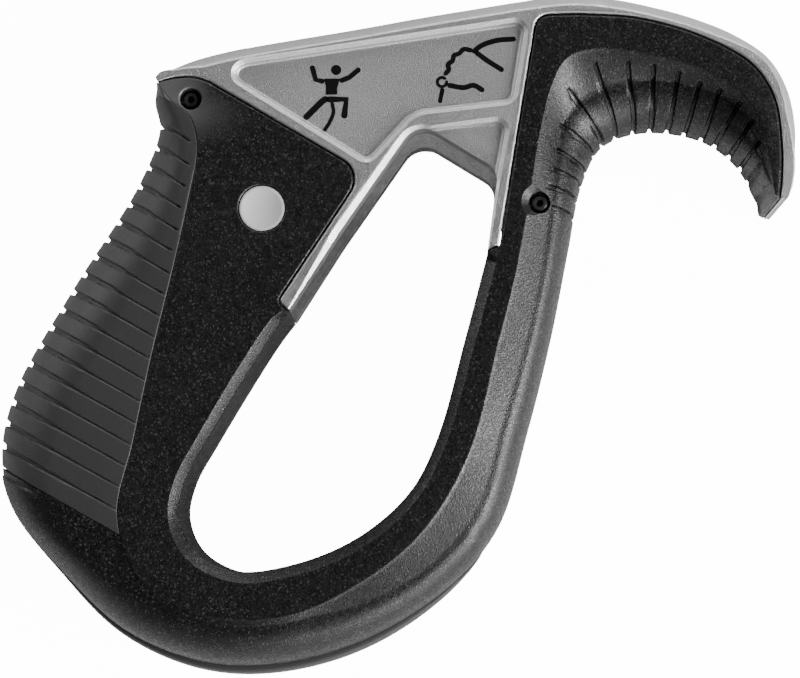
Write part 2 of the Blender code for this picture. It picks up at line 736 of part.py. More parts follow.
def main():
    for obj in list(bpy.data.objects):
        bpy.data.objects.remove(obj)
    device = bpy.data.objects.new("device", None)
    bpy.context.scene.collection.objects.link(device)

    aluminium = finish("blasted_aluminium", (0.42, 0.42, 0.43), 0.42, 1.0)
    steel = finish("brake_steel", (0.55, 0.55, 0.56), 0.22, 1.0)
    nylon = finish("black_nylon", (0.022, 0.022, 0.024), 0.5, 0.0)
    rubber = finish("grip_rubber", (0.045, 0.045, 0.047), 0.62, 0.0)
    oxide = finish("black_pin_steel", (0.03, 0.03, 0.032), 0.35, 1.0)
    badge = finish("badge_grey", (0.55, 0.55, 0.56), 0.45, 0.0)

    band = Band()
    build_frame(aluminium)
    insert = new_object("brake_insert", brake_insert, steel)
    for k, seat in enumerate(rivet_seats()):
        cut(insert, new_object(f"insert_hole_tool_{k}", rivet(seat, GAP), steel))
        new_object(f"insert_rivet_{'lower' if k == 0 else 'upper'}", rivet(seat), steel)
    for side in ("near", "far"):
        build_shell_side(band, side, nylon, rubber, badge)
    new_object("bottom_bumper", bottom_bumper(band), rubber)
    for name, spot, recess in (
            ("handle_pin", HANDLE_PIN_AT, PIN_RECESS),
            ("hook_pin", HOOK_PIN_AT, HOOK_PIN_RECESS)):
        pin = rod(spot, recess, THICKNESS - recess, PIN_DIAMETER / 2)
        new_object(name, pin, oxide)
    centre_on_origin(device)


main()
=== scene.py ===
# %% [markdown]
# # A belay device with a thumb hook
# This lesson dresses a plain solid model of a climbing belay device. The device is a metal frame
# with a slot for the rope, held in a black nylon body that goes round a carabiner window. The solid
# model already has the right sizes, so every piece here is a finer mesh in the same place, and each
# one says which solid it stands for.

import math

import bmesh
import bpy
from mathutils import Matrix, Vector


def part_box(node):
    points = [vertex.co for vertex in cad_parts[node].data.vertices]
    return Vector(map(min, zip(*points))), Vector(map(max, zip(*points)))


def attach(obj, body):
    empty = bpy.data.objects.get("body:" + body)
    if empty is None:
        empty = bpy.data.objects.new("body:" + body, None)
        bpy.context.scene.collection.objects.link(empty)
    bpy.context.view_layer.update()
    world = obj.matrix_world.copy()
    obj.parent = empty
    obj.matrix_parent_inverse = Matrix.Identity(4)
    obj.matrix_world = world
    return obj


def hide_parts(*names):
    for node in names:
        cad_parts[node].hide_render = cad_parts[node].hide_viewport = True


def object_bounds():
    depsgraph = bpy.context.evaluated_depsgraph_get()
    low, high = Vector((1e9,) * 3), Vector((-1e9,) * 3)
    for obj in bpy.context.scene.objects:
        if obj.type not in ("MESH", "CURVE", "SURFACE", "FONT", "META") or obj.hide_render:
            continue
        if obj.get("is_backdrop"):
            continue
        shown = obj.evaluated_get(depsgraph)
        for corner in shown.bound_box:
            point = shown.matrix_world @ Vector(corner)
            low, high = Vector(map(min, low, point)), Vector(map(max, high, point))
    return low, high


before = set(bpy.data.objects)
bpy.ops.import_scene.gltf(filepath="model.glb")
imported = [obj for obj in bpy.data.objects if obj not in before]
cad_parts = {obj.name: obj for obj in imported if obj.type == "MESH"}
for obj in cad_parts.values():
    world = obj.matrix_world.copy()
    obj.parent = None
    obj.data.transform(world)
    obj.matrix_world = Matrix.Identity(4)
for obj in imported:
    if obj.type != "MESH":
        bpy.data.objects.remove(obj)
solid_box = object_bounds()
print("solids:", ", ".join(sorted(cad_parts)))

# %% [markdown]
# ## The frame of reference
# All the shapes below are drawn in millimetres, from the middle of the device outwards. The solid
# model was moved a little after it was drawn, so that its box stands centred on the origin. The
# badge is a round disc whose centre is known in the drawing, so the shift is read off the badge.

# %% Millimetres and the shift from the drawing to the model
MM = 0.001
THICKNESS = 22.0
MID = THICKNESS / 2
HALF = THICKNESS / 2
BADGE_AT = Vector((-18.1, 16.4))
low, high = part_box("near_badge")
SHIFT = Vector(((low.x + high.x) / 2 / MM - BADGE_AT.x, (low.y + high.y) / 2 / MM - BADGE_AT.y, 0.0))
print("shift from the drawing, in mm:", [round(value, 3) for value in SHIFT])


# %% [markdown]
# ## Drawing outlines
# A hand-held tool has two kinds of outline. Long flowing edges are best drawn as a smooth curve
# through a few points. Machined openings are straight runs with rounded corners. Each kind gets
# one small function, so an outline stays a short readable list.

# %% Curves through points, and straight runs with rounded corners
CURVE_STEPS = 12
FILLET_STEPS = 10


def curve(points, steps=CURVE_STEPS):
    """A smooth open curve through the points, evenly strung between them."""
    pts = [Vector(p) for p in points]
    pts = [pts[0] * 2 - pts[1]] + pts + [pts[-1] * 2 - pts[-2]]
    out = []
    for i in range(1, len(pts) - 2):
        before, start, end, after = pts[i - 1:i + 3]
        gaps = [math.sqrt((b - a).length) for a, b in ((before, start), (start, end), (end, after))]
        lead_in = slope_at(before, start, end, gaps[0], gaps[1]) * gaps[1]
        lead_out = slope_at(start, end, after, gaps[1], gaps[2]) * gaps[1]
        for k in range(steps):
            t = k / steps
            t2, t3 = t * t, t * t * t
            place = start * (2 * t3 - 3 * t2 + 1) + end * (3 * t2 - 2 * t3)
            out.append(place + lead_in * (t3 - 2 * t2 + t) + lead_out * (t3 - t2))
    out.append(pts[-2])
    return out


def slope_at(a, b, c, gap_ab, gap_bc):
    """The curve's slope at b, from its neighbours a and c."""
    return (b - a) / gap_ab - (c - a) / (gap_ab + gap_bc) + (c - b) / gap_bc


def rounded(corners, closed=False, steps=FILLET_STEPS):
    """Straight runs between corners (x, y, radius), each corner an arc."""
    pts = [Vector((x, y)) for x, y, _ in corners]
    count = len(pts)
    out = []
    for i, (point, corner) in enumerate(zip(pts, corners)):
        radius = corner[2]
        if radius == 0 or (not closed and i in (0, count - 1)):
            out.append(point)
            continue
        back = (pts[i - 1] - point).normalized()
        ahead = (pts[(i + 1) % count] - point).normalized()
        half_angle = math.acos(max(-1.0, min(1.0, back.dot(ahead)))) / 2
        reach = radius / math.tan(half_angle)
        centre = point + (back + ahead).normalized() * radius / math.sin(half_angle)
        start = point + back * reach - centre
        end = point + ahead * reach - centre
        sweep = math.atan2(start.x * end.y - start.y * end.x, start.dot(end))
        for k in range(steps + 1):
            out.append(centre + Matrix.Rotation(sweep * k / steps, 2) @ start)
    return out


def side_step(points, distance, closed=False):
    """The points moved to their left by distance."""
    count = len(points)
    out = []
    for i, point in enumerate(points):
        before = points[i - 1] if closed or i else point
        after = points[(i + 1) % count] if closed or i < count - 1 else point
        along = (after - before).normalized()
        out.append(point + Vector((-along.y, along.x)) * distance)
    return out


print("a rounded corner has", len(rounded([(0, 0, 0), (5, 0, 1), (5, 5, 0)])), "points")

# %% [markdown]
# ## Reading along a line
# The body is a band that changes shape as it goes round. To build it, three lines must be read in
# step: the outer edge, the crease where the flat face turns down, and the inner edge. `Path` reads
# a line at any distance along it.

# %% A line that can be read at any distance
class Path:
    """A polyline that can be read at any distance along it."""

    def __init__(self, points):
        self.points = [p for i, p in enumerate(points) if i == 0 or (p - points[i - 1]).length > 1e-4]
        self.at = [0.0]
        for a, b in zip(self.points, self.points[1:]):
            self.at.append(self.at[-1] + (b - a).length)
        self.length = self.at[-1]

    def read(self, distance):
        """The point at this distance along the path."""
        distance = max(0.0, min(self.length, distance))
        low, high = 0, len(self.at) - 1
        while high - low > 1:
            middle = (low + high) // 2
            if self.at[middle] <= distance:
                low = middle
            else:
                high = middle
        share = (distance - self.at[low]) / (self.at[high] - self.at[low])
        return self.points[low].lerp(self.points[high], share)

    def nearest(self, target):
        """The distance along the path of its point nearest to target."""
        best = (1e9, 0.0)
        for i in range(len(self.points) - 1):
            a, b = self.points[i], self.points[i + 1]
            share = max(0.0, min(1.0, (target - a).dot(b - a) / (b - a).length_squared))
            gap = (a.lerp(b, share) - target).length
            best = min(best, (gap, self.at[i] + share * (b - a).length))
        return best[1]

    def crossing(self, start, along):
        """The distance along the path where the straight line from start first meets it."""
        best = None
        side = Vector((-along.y, along.x))
        for i in range(len(self.points) - 1):
            a, b = self.points[i] - start, self.points[i + 1] - start
            height_a, height_b = a.dot(side), b.dot(side)
            if height_a * height_b > 0 or height_a == height_b:
                continue
            share = height_a / (height_a - height_b)
            reach = a.lerp(b, share).dot(along)
            if reach > -0.5 and (best is None or reach < best[0]):
                best = (reach, self.at[i] + share * (b - a).length)
        return best[1]


print("halfway along a line from 0 to 4:", Path([Vector((0, 0)), Vector((4, 0))]).read(2.0).x)

# %% [markdown]
# ## Values that change smoothly
# Widths and depths are known at a few places and change smoothly between them. `Smooth` joins such
# values without overshooting, so a wall can't get thicker than its thickest known place.

# %% Smooth values between a few known ones
class Smooth:
    """A smooth rise and fall through (at, value) pairs that never overshoots them."""

    def __init__(self, pairs):
        self.x = [float(p[0]) for p in pairs]
        self.y = [float(p[1]) for p in pairs]
        steps = [b - a for a, b in zip(self.x, self.x[1:])]
        rises = [(b - a) / h for a, b, h in zip(self.y, self.y[1:], steps)]
        self.slope = [rises[0]]
        for (ha, ra), (hb, rb) in zip(zip(steps, rises), zip(steps[1:], rises[1:])):
            if ra * rb <= 0:
                self.slope.append(0.0)
            else:
                wa, wb = 2 * hb + ha, hb + 2 * ha
                self.slope.append((wa + wb) / (wa / ra + wb / rb))
        self.slope.append(rises[-1])

    def __call__(self, at):
        if at <= self.x[0]:
            return self.y[0]
        if at >= self.x[-1]:
            return self.y[-1]
        i = next(k for k in range(len(self.x) - 1) if at <= self.x[k + 1])
        step = self.x[i + 1] - self.x[i]
        t = (at - self.x[i]) / step
        t2, t3 = t * t, t * t * t
        value = self.y[i] * (2 * t3 - 3 * t2 + 1) + self.y[i + 1] * (3 * t2 - 2 * t3)
        return value + step * (self.slope[i] * (t3 - 2 * t2 + t) + self.slope[i + 1] * (t3 - t2))


def soft_step(value, low, high):
    """0 below low, 1 above high, and a soft ramp between."""
    t = max(0.0, min(1.0, (value - low) / (high - low)))
    return t * t * (3 - 2 * t)


print("halfway up a soft step:", soft_step(0.5, 0.0, 1.0))

# %% [markdown]
# ## The lines of the body
# The outer edge runs from the handle's end, round the bottom, up the leg and round inside the
# thumb hook. The crease is where the flat face ends. The inner edge follows the frame and the
# carabiner window. They are the lines of the solid model, strung more finely.

# %% Outer edge, crease, inner edge and spine
OUTER_EDGE = Path(curve([
    (-32.5, 33.9), (-33.1, 31.8), (-32.5, 28.3), (-35.3, 20.8), (-44.1, 6.7),
    (-51.7, -7.0), (-53.5, -15.5), (-51.9, -22.7), (-44.9, -31.4), (-36.4, -39.2),
    (-26.1, -43.3), (-15.8, -43.5), (-4.0, -40.1), (7.0, -33.0), (13.2, -25.5),
    (17.2, -12.7), (20.4, 0.0), (22.8, 12.0), (24.5, 20.4), (27.3, 25.9),
    (32.8, 28.0), (40.8, 26.9), (45.9, 23.4), (48.5, 19.6), (50.0, 17.7),
]))
CREASE = Path(curve([
    (-32.2, 33.5), (-30.3, 31.0), (-27.6, 28.6), (-26.6, 24.5), (-27.7, 17.6),
    (-29.9, 7.5), (-32.4, -3.0), (-34.8, -14.5), (-36.8, -24.5), (-33.4, -33.0),
    (-25.0, -37.2), (-15.0, -37.3), (-6.0, -33.5), (2.8, -26.6), (9.1, -16.3),
    (13.2, -1.0), (15.7, 9.2), (17.3, 17.8), (18.6, 26.0), (20.4, 33.1),
    (22.4, 36.4), (26.5, 37.6), (33.0, 36.8), (41.5, 34.2), (47.2, 29.3),
    (48.9, 23.0), (49.6, 18.0),
]))
PANEL_EDGE = curve([(-31.9, 33.2), (-30.2, 33.7), (-27.3, 33.9), (-25.2, 33.3)])
PANEL_EDGE += rounded([(-24.2, 32.7, 0), (-4.7, 21.2, 3.0), (-16.1, 3.9, 0.9), (-14.5, 2.85, 0)])
WINDOW_BODY_EDGE = curve([
    (-14.5, 2.85), (-17.0, -0.6), (-25.0, -13.7), (-28.1, -19.4), (-28.9, -24.0),
    (-26.9, -28.5), (-21.6, -31.3), (-14.0, -30.5), (-5.5, -27.0), (1.4, -21.0),
    (5.0, -14.0), (8.7, -0.8), (11.75, 10.8),
])
WINDOW_FRAME_EDGE = rounded([
    (11.75, 10.8, 0), (13.1, 21.6, 2.6), (2.5, 28.1, 3.2), (-7.7, 13.4, 30), (-14.5, 2.85, 0),
])
HOOK_EDGE = rounded([(11.75, 10.8, 0), (13.25, 11.3, 0.6), (18.35, 42.1, 1.9), (21.5, 42.2, 0)])
HOOK_EDGE += curve([
    (24.3, 42.25), (31.7, 41.7), (40.0, 39.3), (46.7, 35.5), (49.6, 31.0),
    (50.5, 25.0), (50.5, 20.5), (50.2, 17.5),
])
SPINE = curve([
    (-32.3, 33.9), (-31.5, 35.0), (-30.1, 36.2), (-27.6, 37.5), (-23.7, 38.6),
    (-19.3, 39.5), (-5.6, 41.8), (2.7, 43.3), (10.0, 44.5), (17.0, 45.6),
    (23.0, 46.2), (29.0, 45.7), (34.3, 44.6), (39.6, 43.1), (44.9, 40.9),
    (49.7, 37.4), (52.2, 33.2), (53.2, 28.0), (52.9, 23.8), (52.2, 20.3),
    (51.6, 18.3), (51.1, 17.5), (50.7, 17.6),
])
INNER_EDGE = Path(PANEL_EDGE + WINDOW_BODY_EDGE[1:] + HOOK_EDGE[1:])
print("outer edge", round(OUTER_EDGE.length, 1), "mm, crease", round(CREASE.length, 1), "mm")

# %% [markdown]
# ## The grip grooves
# Fine grooves cross the handle and the inside of the thumb hook, so that a wet hand holds on.
# The handle's grooves are parallel and evenly spaced, so one direction, one spacing and the
# places where they end say it all. The hook's grooves fan round the thumb, so each is given by
# its two ends.

# %% Where the grooves run
HANDLE_ALONG = Vector((0.857, -0.515)).normalized()
HANDLE_ACROSS = Vector((-HANDLE_ALONG.y, HANDLE_ALONG.x))
HANDLE_COUNT = 19
FIRST_OUTER, OUTER_PITCH = Vector((-32.1, 28.4)), 2.80
FIRST_INNER, INNER_PITCH = Vector((-28.0, 25.6)), 2.74
INNER_END_X = Smooth([(0, -28.0), (1, -28.0), (3, -28.9), (7, -31.3), (11, -34.0), (15, -36.5), (18, -37.6)])

HOOK_GROOVES = [
    ((23.4, 16.0), (20.5, 16.6)), ((24.0, 18.3), (20.0, 19.4)), ((24.4, 20.5), (20.4, 21.8)),
    ((25.1, 22.4), (21.0, 24.4)), ((26.0, 24.9), (21.7, 27.7)), ((27.4, 26.2), (22.8, 32.1)),
    ((29.2, 27.5), (26.1, 35.6)), ((31.6, 28.0), (30.4, 35.6)), ((33.9, 28.0), (33.8, 35.2)),
    ((36.2, 27.9), (37.1, 34.4)), ((38.5, 27.6), (39.9, 33.1)), ((40.8, 26.9), (42.5, 32.1)),
    ((42.6, 26.1), (45.1, 30.4)), ((44.6, 24.8), (46.8, 28.0)), ((46.1, 23.2), (47.6, 25.1)),
    ((47.4, 21.4), (47.8, 22.3)), ((48.3, 19.5), (48.0, 19.6)),
]
HOOK_GROOVES = [(Vector(outer), Vector(inner)) for outer, inner in HOOK_GROOVES]


def handle_groove(k):
    """The outer and inner end of handle groove k, as points of the drawing."""
    outer_line = FIRST_OUTER - HANDLE_ACROSS * OUTER_PITCH * k + HANDLE_ALONG * 5.0
    inner_line = FIRST_INNER - HANDLE_ACROSS * INNER_PITCH * k
    inner = inner_line + HANDLE_ALONG * (INNER_END_X(k) - inner_line.x) / HANDLE_ALONG.x
    outer = OUTER_EDGE.read(OUTER_EDGE.crossing(outer_line, -HANDLE_ALONG))
    return outer, inner


HANDLE_GROOVES = [handle_groove(k) for k in range(HANDLE_COUNT)]
print("first handle groove", [tuple(round(v, 1) for v in end) for end in HANDLE_GROOVES[0]])
print("last handle groove", [tuple(round(v, 1) for v in end) for end in HANDLE_GROOVES[-1]])

# %% [markdown]
# ## The band, read in step
# A rung is a straight line across the band, from the outer edge to the crease and on to the inner
# edge. Where there are grooves the rungs lie along them, so that the mesh runs with the grooves
# and their walls come out clean. Elsewhere a few matching places keep the three lines in step.

# %% Rungs across the body
RUNGS = [
    ((-32.7, 28.3), (-27.0, 25.8), (-18.0, 29.0)),     # first grip groove
    ((-36.3, 19.3), (-28.3, 14.5), (-5.9, 20.5)),      # panel corner
    ((-42.4, 9.4), (-31.0, 2.5), (-15.0, 3.2)),        # left tongue's tip
    ((-53.4, -17.0), (-36.9, -25.5), (-28.7, -22.0)),  # last grip groove
    ((-44.9, -31.4), (-33.4, -33.0), (-28.0, -27.2)),
    ((-21.0, -43.8), (-20.0, -37.5), (-19.5, -31.4)),  # lowest point
    ((7.0, -33.0), (2.8, -26.6), (0.5, -22.0)),
    ((22.5, 11.0), (15.7, 9.2), (11.75, 10.8)),        # right tongue's tip
    ((23.4, 16.0), (17.2, 17.5), (14.4, 18.0)),        # first hook groove
    ((27.4, 26.2), (20.9, 34.2), (18.5, 41.6)),        # hook's root
    ((33.9, 28.0), (33.5, 36.7), (34.0, 41.3)),
    ((42.6, 26.1), (44.0, 32.5), (45.9, 36.1)),
    ((47.4, 21.4), (48.8, 23.5), (50.5, 24.0)),
]


class Band:
    """The body's band, read by the distance along its crease."""

    def __init__(self):
        rows = [[line.nearest(Vector(p)) for line, p in zip((OUTER_EDGE, CREASE, INNER_EDGE), row)]
                for row in RUNGS]
        rows = [[0.0, 0.0, 0.0]] + rows + [[OUTER_EDGE.length, CREASE.length, INNER_EDGE.length]]
        self.row_at = [row[1] for row in rows]
        self.inner_at = Smooth([(row[1], row[2]) for row in rows])
        self.handle_at = [self.groove_row(*ends) for ends in HANDLE_GROOVES]
        self.hook_at = [self.groove_row(*ends) for ends in HOOK_GROOVES[:-2]]
        pairs = [(row[1], row[0]) for row in rows if not self.in_grooves(row[1])]
        pairs += [(c, o) for o, c in self.handle_at + self.hook_at]
        self.outer_at = Smooth(sorted(pairs))
        self.length = CREASE.length

    def groove_row(self, outer, inner):
        """Where a groove's line meets the outer edge and the crease."""
        along = (inner - outer).normalized()
        return OUTER_EDGE.nearest(outer), CREASE.crossing(inner, along)

    def in_grooves(self, at):
        """Whether this place lies among the grooves, or close to them."""
        return any(low[1] - 2.0 < at < high[1] + 2.0 for low, high in
                   ((self.handle_at[0], self.handle_at[-1]), (self.hook_at[0], self.hook_at[-1])))

    def share(self, at):
        """The row of RUNGS at this distance along the crease, with its fraction."""
        row = max(k for k in range(len(self.row_at) - 1) if self.row_at[k] <= max(at, 0.0))
        low, high = self.row_at[row], self.row_at[row + 1]
        return row + min(1.0, (at - low) / (high - low))

    def at_share(self, share):
        """The distance along the crease of this row of RUNGS."""
        row = min(int(share), len(self.row_at) - 2)
        return self.row_at[row] + (self.row_at[row + 1] - self.row_at[row]) * (share - row)

    def rung(self, at):
        """The three points of the rung at this distance along the crease."""
        return OUTER_EDGE.read(self.outer_at(at)), CREASE.read(at), INNER_EDGE.read(self.inner_at(at))


band = Band()
print("the band has", len(RUNGS), "set rows;", "grooves meet the crease from",
      round(band.handle_at[0][1], 1), "to", round(band.handle_at[-1][1], 1), "mm")

# %% [markdown]
# ## The body's cross-section
# Cut across, one half of the body is a hollow shell. From the parting line it rises in a rounded
# shoulder, slopes to a crisp crease, runs flat, and ends in a small chamfer over the inner wall.
# The widths of these parts change round the body, and a smooth table for each keeps the change
# fair. Corners get two close points instead of one, because a real moulded edge is never razor
# sharp and the thin rounding is what catches the light.

# %% How the section changes round the body, by rows of RUNGS
CHANNEL_WIDTH = 12.6
WEB_WIDTH = 9.4
WALL = 2.2
CHAMFER = 1.5
METAL_EDGE = 0.3
GAP = 0.3
PAD_THICKNESS = 1.2
PAD_SEAT = PAD_THICKNESS + GAP
BUMPER_WIDTH = 3.8
BUMPER_DEPTH = 2.6
BUMPER_PROUD = 1.4
ROUND_WIDTH = Smooth([(0, 1.2), (1, 4.5), (2, 7.5), (3, 9.0), (4, 9.0), (6, 6.0), (7, 3.6), (9, 3.4),
                      (10, 6.0), (12, 5.0), (13, 1.6), (14, 0.5)])
SHOULDER_DROP = Smooth([(4, 0.0), (6, 0.5), (7, 1.6), (9, 1.8), (10, 3.2), (12, 3.0), (13, 1.6), (14, 0.8)])
PAD_FROM, PAD_TO = 0.45, 4.12
BUMPER_FROM, BUMPER_TO = 4.25, 7.15
WINDOW_FROM, WINDOW_TO = 3.0, 8.0
LUG_TO = 0.95
WEB_FROM, WEB_TO = 8.5, 10.56
PARTING = 0.08
ARC_STEPS = 14
SLOPE_STEPS = 10
EDGE_SOFTNESS = 0.12


def between(share, start, end, ramp_in=0.05, ramp_out=0.05):
    """1 between two rows, 0 outside them, with short ramps inside the ends."""
    return soft_step(share, start - ramp_in, start) * (1 - soft_step(share, end, end + ramp_out))


def parting_height(share):
    """The level of the near half's lower edge, which is higher along the bumper."""
    rise = between(share, BUMPER_FROM, BUMPER_TO - 0.03, 0.03, 0.02)
    return MID + PARTING + rise * (BUMPER_WIDTH / 2 + GAP / 2)


def inner_wall_foot(share):
    """The level of the inner wall's lower edge, which stops above the frame's hidden lugs."""
    over_lug = 1 - soft_step(share, LUG_TO, LUG_TO + 0.04)
    over_web = between(share, WEB_FROM, WEB_TO)
    return MID + PARTING + max(over_lug, over_web) * (WEB_WIDTH / 2 + GAP)


def edge_break(share):
    """The chamfer along the inner edge: wide round the window, small beside the frame."""
    near_window = between(share, WINDOW_FROM + 0.06, WINDOW_TO - 0.03, 0.08, 0.03)
    return METAL_EDGE + near_window * (CHAMFER - METAL_EDGE)


def outer_skin(share, rung, inset, base, arc_steps=ARC_STEPS):
    """Points of the outer surface, moved in by inset, from the edge at height base to the shoulder."""
    edge, crease, _ = rung
    width = (crease - edge).length
    rounding = min(ROUND_WIDTH(share), width * 0.85)
    inset = min(inset, width * 0.4)
    shoulder = MID + HALF - inset - SHOULDER_DROP(share)
    out = []
    for k in range(arc_steps + 1):
        angle = math.pi / 2 * k / arc_steps
        reach = inset + (max(rounding, inset + 0.2) - inset) * (1 - math.cos(angle))
        out.append((edge.lerp(crease, reach / width), base + (shoulder - base) * math.sin(angle)))
    return out


print("at the leg the rounded edge is", round(ROUND_WIDTH(8), 2), "mm wide")

# %% [markdown]
# ## Cutting grooves into a section
# A groove is pressed into the section point by point: each point asks how far it is, seen from
# above, from the nearest groove's centre line, and moves inwards by the groove's depth there. The
# floor of the groove is flat and its walls are steep. This keeps one clean mesh with no cutting.

# %% The depth of a groove at a point
HOOK_GROOVE = (0.2, 0.15)
HOOK_GROOVE_DEPTH = 0.55
HANDLE_GROOVE = (0.11, 0.11)


def groove_depth(point, grooves, depth, shape, widen=0.0):
    """How far a point sinks. The shape is the floor's half width and the width of each wall."""
    floor_half, wall = shape
    best = 0.0
    for outer, inner in grooves:
        along = inner - outer
        share = max(0.0, min(1.0, (point - outer).dot(along) / along.length_squared))
        gap = (point - outer.lerp(inner, share)).length
        if (point - outer).dot(along) < 0:
            gap = abs((point - outer).cross(along)) / along.length if along.length else gap
        half = floor_half + widen * (1 - share) ** 2
        best = max(best, 1 - soft_step(gap, half, half + wall))
    return depth * best


def sink(section, grooves, depth, shape, widen=0.0):
    """The section with grooves pressed into it, square to its own surface."""
    if not grooves:
        return section
    out = []
    for i, (point, height) in enumerate(section):
        before = section[max(i - 1, 0)]
        after = section[min(i + 1, len(section) - 1)]
        amount = groove_depth(point, grooves, depth, shape, widen)
        if amount == 0:
            out.append((point, height))
            continue
        run = after[0] - before[0]
        rise = after[1] - before[1]
        length = math.hypot(run.length, rise)
        across = (section[-1][0] - section[0][0]).normalized()
        moved = point + across * (amount * rise / length)
        out.append((moved, height - amount * run.length / length))
    return out


TRIAL_GROOVE = [(Vector((-1, 0)), Vector((1, 0)))]
print("a point on a groove's line sinks", groove_depth(Vector((0, 0)), TRIAL_GROOVE, 0.5, HOOK_GROOVE))

# %% [markdown]
# ## The two halves of the body
# Each half is a loft: sections set side by side along the crease and skinned. The far half is the
# near half mirrored, as it is on the real device, so only one has to be drawn. The stations stand
# close together where a groove's wall or a step needs them.

# %% The near half's sections
def near_grooves(at, rows, grooves, reach=1):
    """The grooves close to this station, so that a point asks only a few of them."""
    nearest = min(range(len(rows)), key=lambda k: abs(rows[k][1] - at))
    return grooves[max(0, nearest - reach):nearest + reach + 1]


def shell_section(at):
    """The closed section of the near half at this distance along the crease."""
    share = band.share(at)
    rung = band.rung(at)
    edge, crease, inner = rung
    flat = (inner - crease).length
    across = (crease - edge).length
    seat = PAD_SEAT * between(share, PAD_FROM, PAD_TO, 0.03, 0.03)
    top = MID + HALF
    base = parting_height(share)
    foot = inner_wall_foot(share)
    bevel = min(edge_break(share), flat * 0.4)
    wall = min(WALL, (flat + across) * 0.3)
    border = min(PARTING, across * 0.2)

    outside = outer_skin(share, rung, seat, base)
    shoulder, level = outside[-1]
    rim = edge.lerp(crease, 1 - border / across)
    for k in range(1, SLOPE_STEPS + 1):
        part = k / SLOPE_STEPS
        outside.append((shoulder.lerp(rim, part), level + (top - seat - EDGE_SOFTNESS - level) * part))
    if band.hook_at[0][1] - 3 < at:
        local = near_grooves(at, band.hook_at, HOOK_GROOVES[:-2], 2)
        if at > band.hook_at[-1][1] - 2:
            local = local + HOOK_GROOVES[-2:]
        outside = sink(outside, local, HOOK_GROOVE_DEPTH, HOOK_GROOVE)
    soft = min(EDGE_SOFTNESS, flat * 0.1)
    outside.append((crease, top - EDGE_SOFTNESS * 0.8 if seat else top - EDGE_SOFTNESS * 0.3))
    outside.append((crease.lerp(inner, soft * 1.5 / flat), top))
    outside.append((inner.lerp(crease, (bevel + soft) / flat), top))
    outside.append((inner.lerp(crease, (bevel - soft * 0.7) / flat), top - soft * 0.7))
    outside.append((inner.lerp(crease, soft * 0.7 / flat), top - bevel + soft * 0.7))
    outside.append((inner, top - bevel - soft))
    outside.append((inner, (top - bevel + foot) / 2))
    outside.append((inner, foot))

    roof = max(max(base, foot) + 0.4, top - wall - seat)
    hollow = outer_skin(share, rung, min(wall + seat, across * 0.45), base, 4)
    limit = hollow[-1][1]
    inner_wall = min(wall, flat * 0.45)
    inside = [(inner.lerp(crease, inner_wall / flat), foot)]
    inside.append((inner.lerp(crease, inner_wall / flat), max(foot + 0.2, min(roof, top - wall))))
    inside.append((crease, max(foot + 0.2, min(roof, top - wall - seat))))
    inside += [(point, max(base, min(height, roof, limit))) for point, height in reversed(hollow)]
    return outside + inside


print("the body's wall is", WALL, "mm thick")

# %% [markdown]
# ## Where the sections stand
# Even steps suit the smooth stretches. A groove's wall is far narrower than a step, so every groove
# brings stations of its own, and the even ones that crowd them are left out.

# %% The stations along the crease
def shell_stations():
    """Distances along the crease: even steps, both sides of each step, and a few for every groove."""
    start, end = band.at_share(0.05), band.at_share(13.98)
    wanted = [start + (end - start) * k / 420 for k in range(421)]
    steps = (PAD_FROM, PAD_TO, BUMPER_FROM, BUMPER_TO, WINDOW_FROM, WINDOW_TO, LUG_TO, WEB_FROM, WEB_TO)
    for share in steps:
        wanted += [band.at_share(share + step) for step in (-0.05, -0.03, 0.0, 0.03, 0.05)]
    fine = []
    for _, crease_at in band.hook_at:
        fine += groove_stations(crease_at, HOOK_GROOVE)
    return merge_stations(wanted, fine, start, end)


def groove_stations(at, shape):
    """Stations on a groove's floor, at its walls' feet and tops, on both sides."""
    half, wall = shape
    offsets = (0.0, half * 0.8, half + wall * 0.5, half + wall * 1.1, half + wall * 2.5)
    return [at + side * offset * 1.15 for offset in offsets for side in (-1, 1)]


def merge_stations(wanted, fine, start, end):
    """All fine stations, and the wanted ones that aren't crowded by them."""
    fine = sorted(set(round(at, 4) for at in fine if start < at < end))
    kept = [at for at in wanted if all(abs(at - other) > 0.22 for other in fine)]
    kept = sorted(kept + fine)
    out = [start]
    for at in kept:
        if at - out[-1] > 0.03 and end - at > 0.03:
            out.append(at)
    return out + [end]


SHELL_STATIONS = shell_stations()
print(len(SHELL_STATIONS), "stations of", len(shell_section(SHELL_STATIONS[5])), "points")

# %% [markdown]
# ## Making a mesh piece
# Every piece below is made the same way: a builder fills an empty mesh, the mesh becomes an object
# in metres, the object rides on the root body, and the solids it stands for are hidden. Each piece
# takes its finish later, from a word in its name. Faces are smooth-shaded, edges sharper than a set
# angle stay crisp, and normals are weighted by face size so that the flat faces look truly flat beside their
# thin roundings.

# %% From a builder to a finished piece
PIECES = {}
SHARP_ANGLE = math.radians(38)


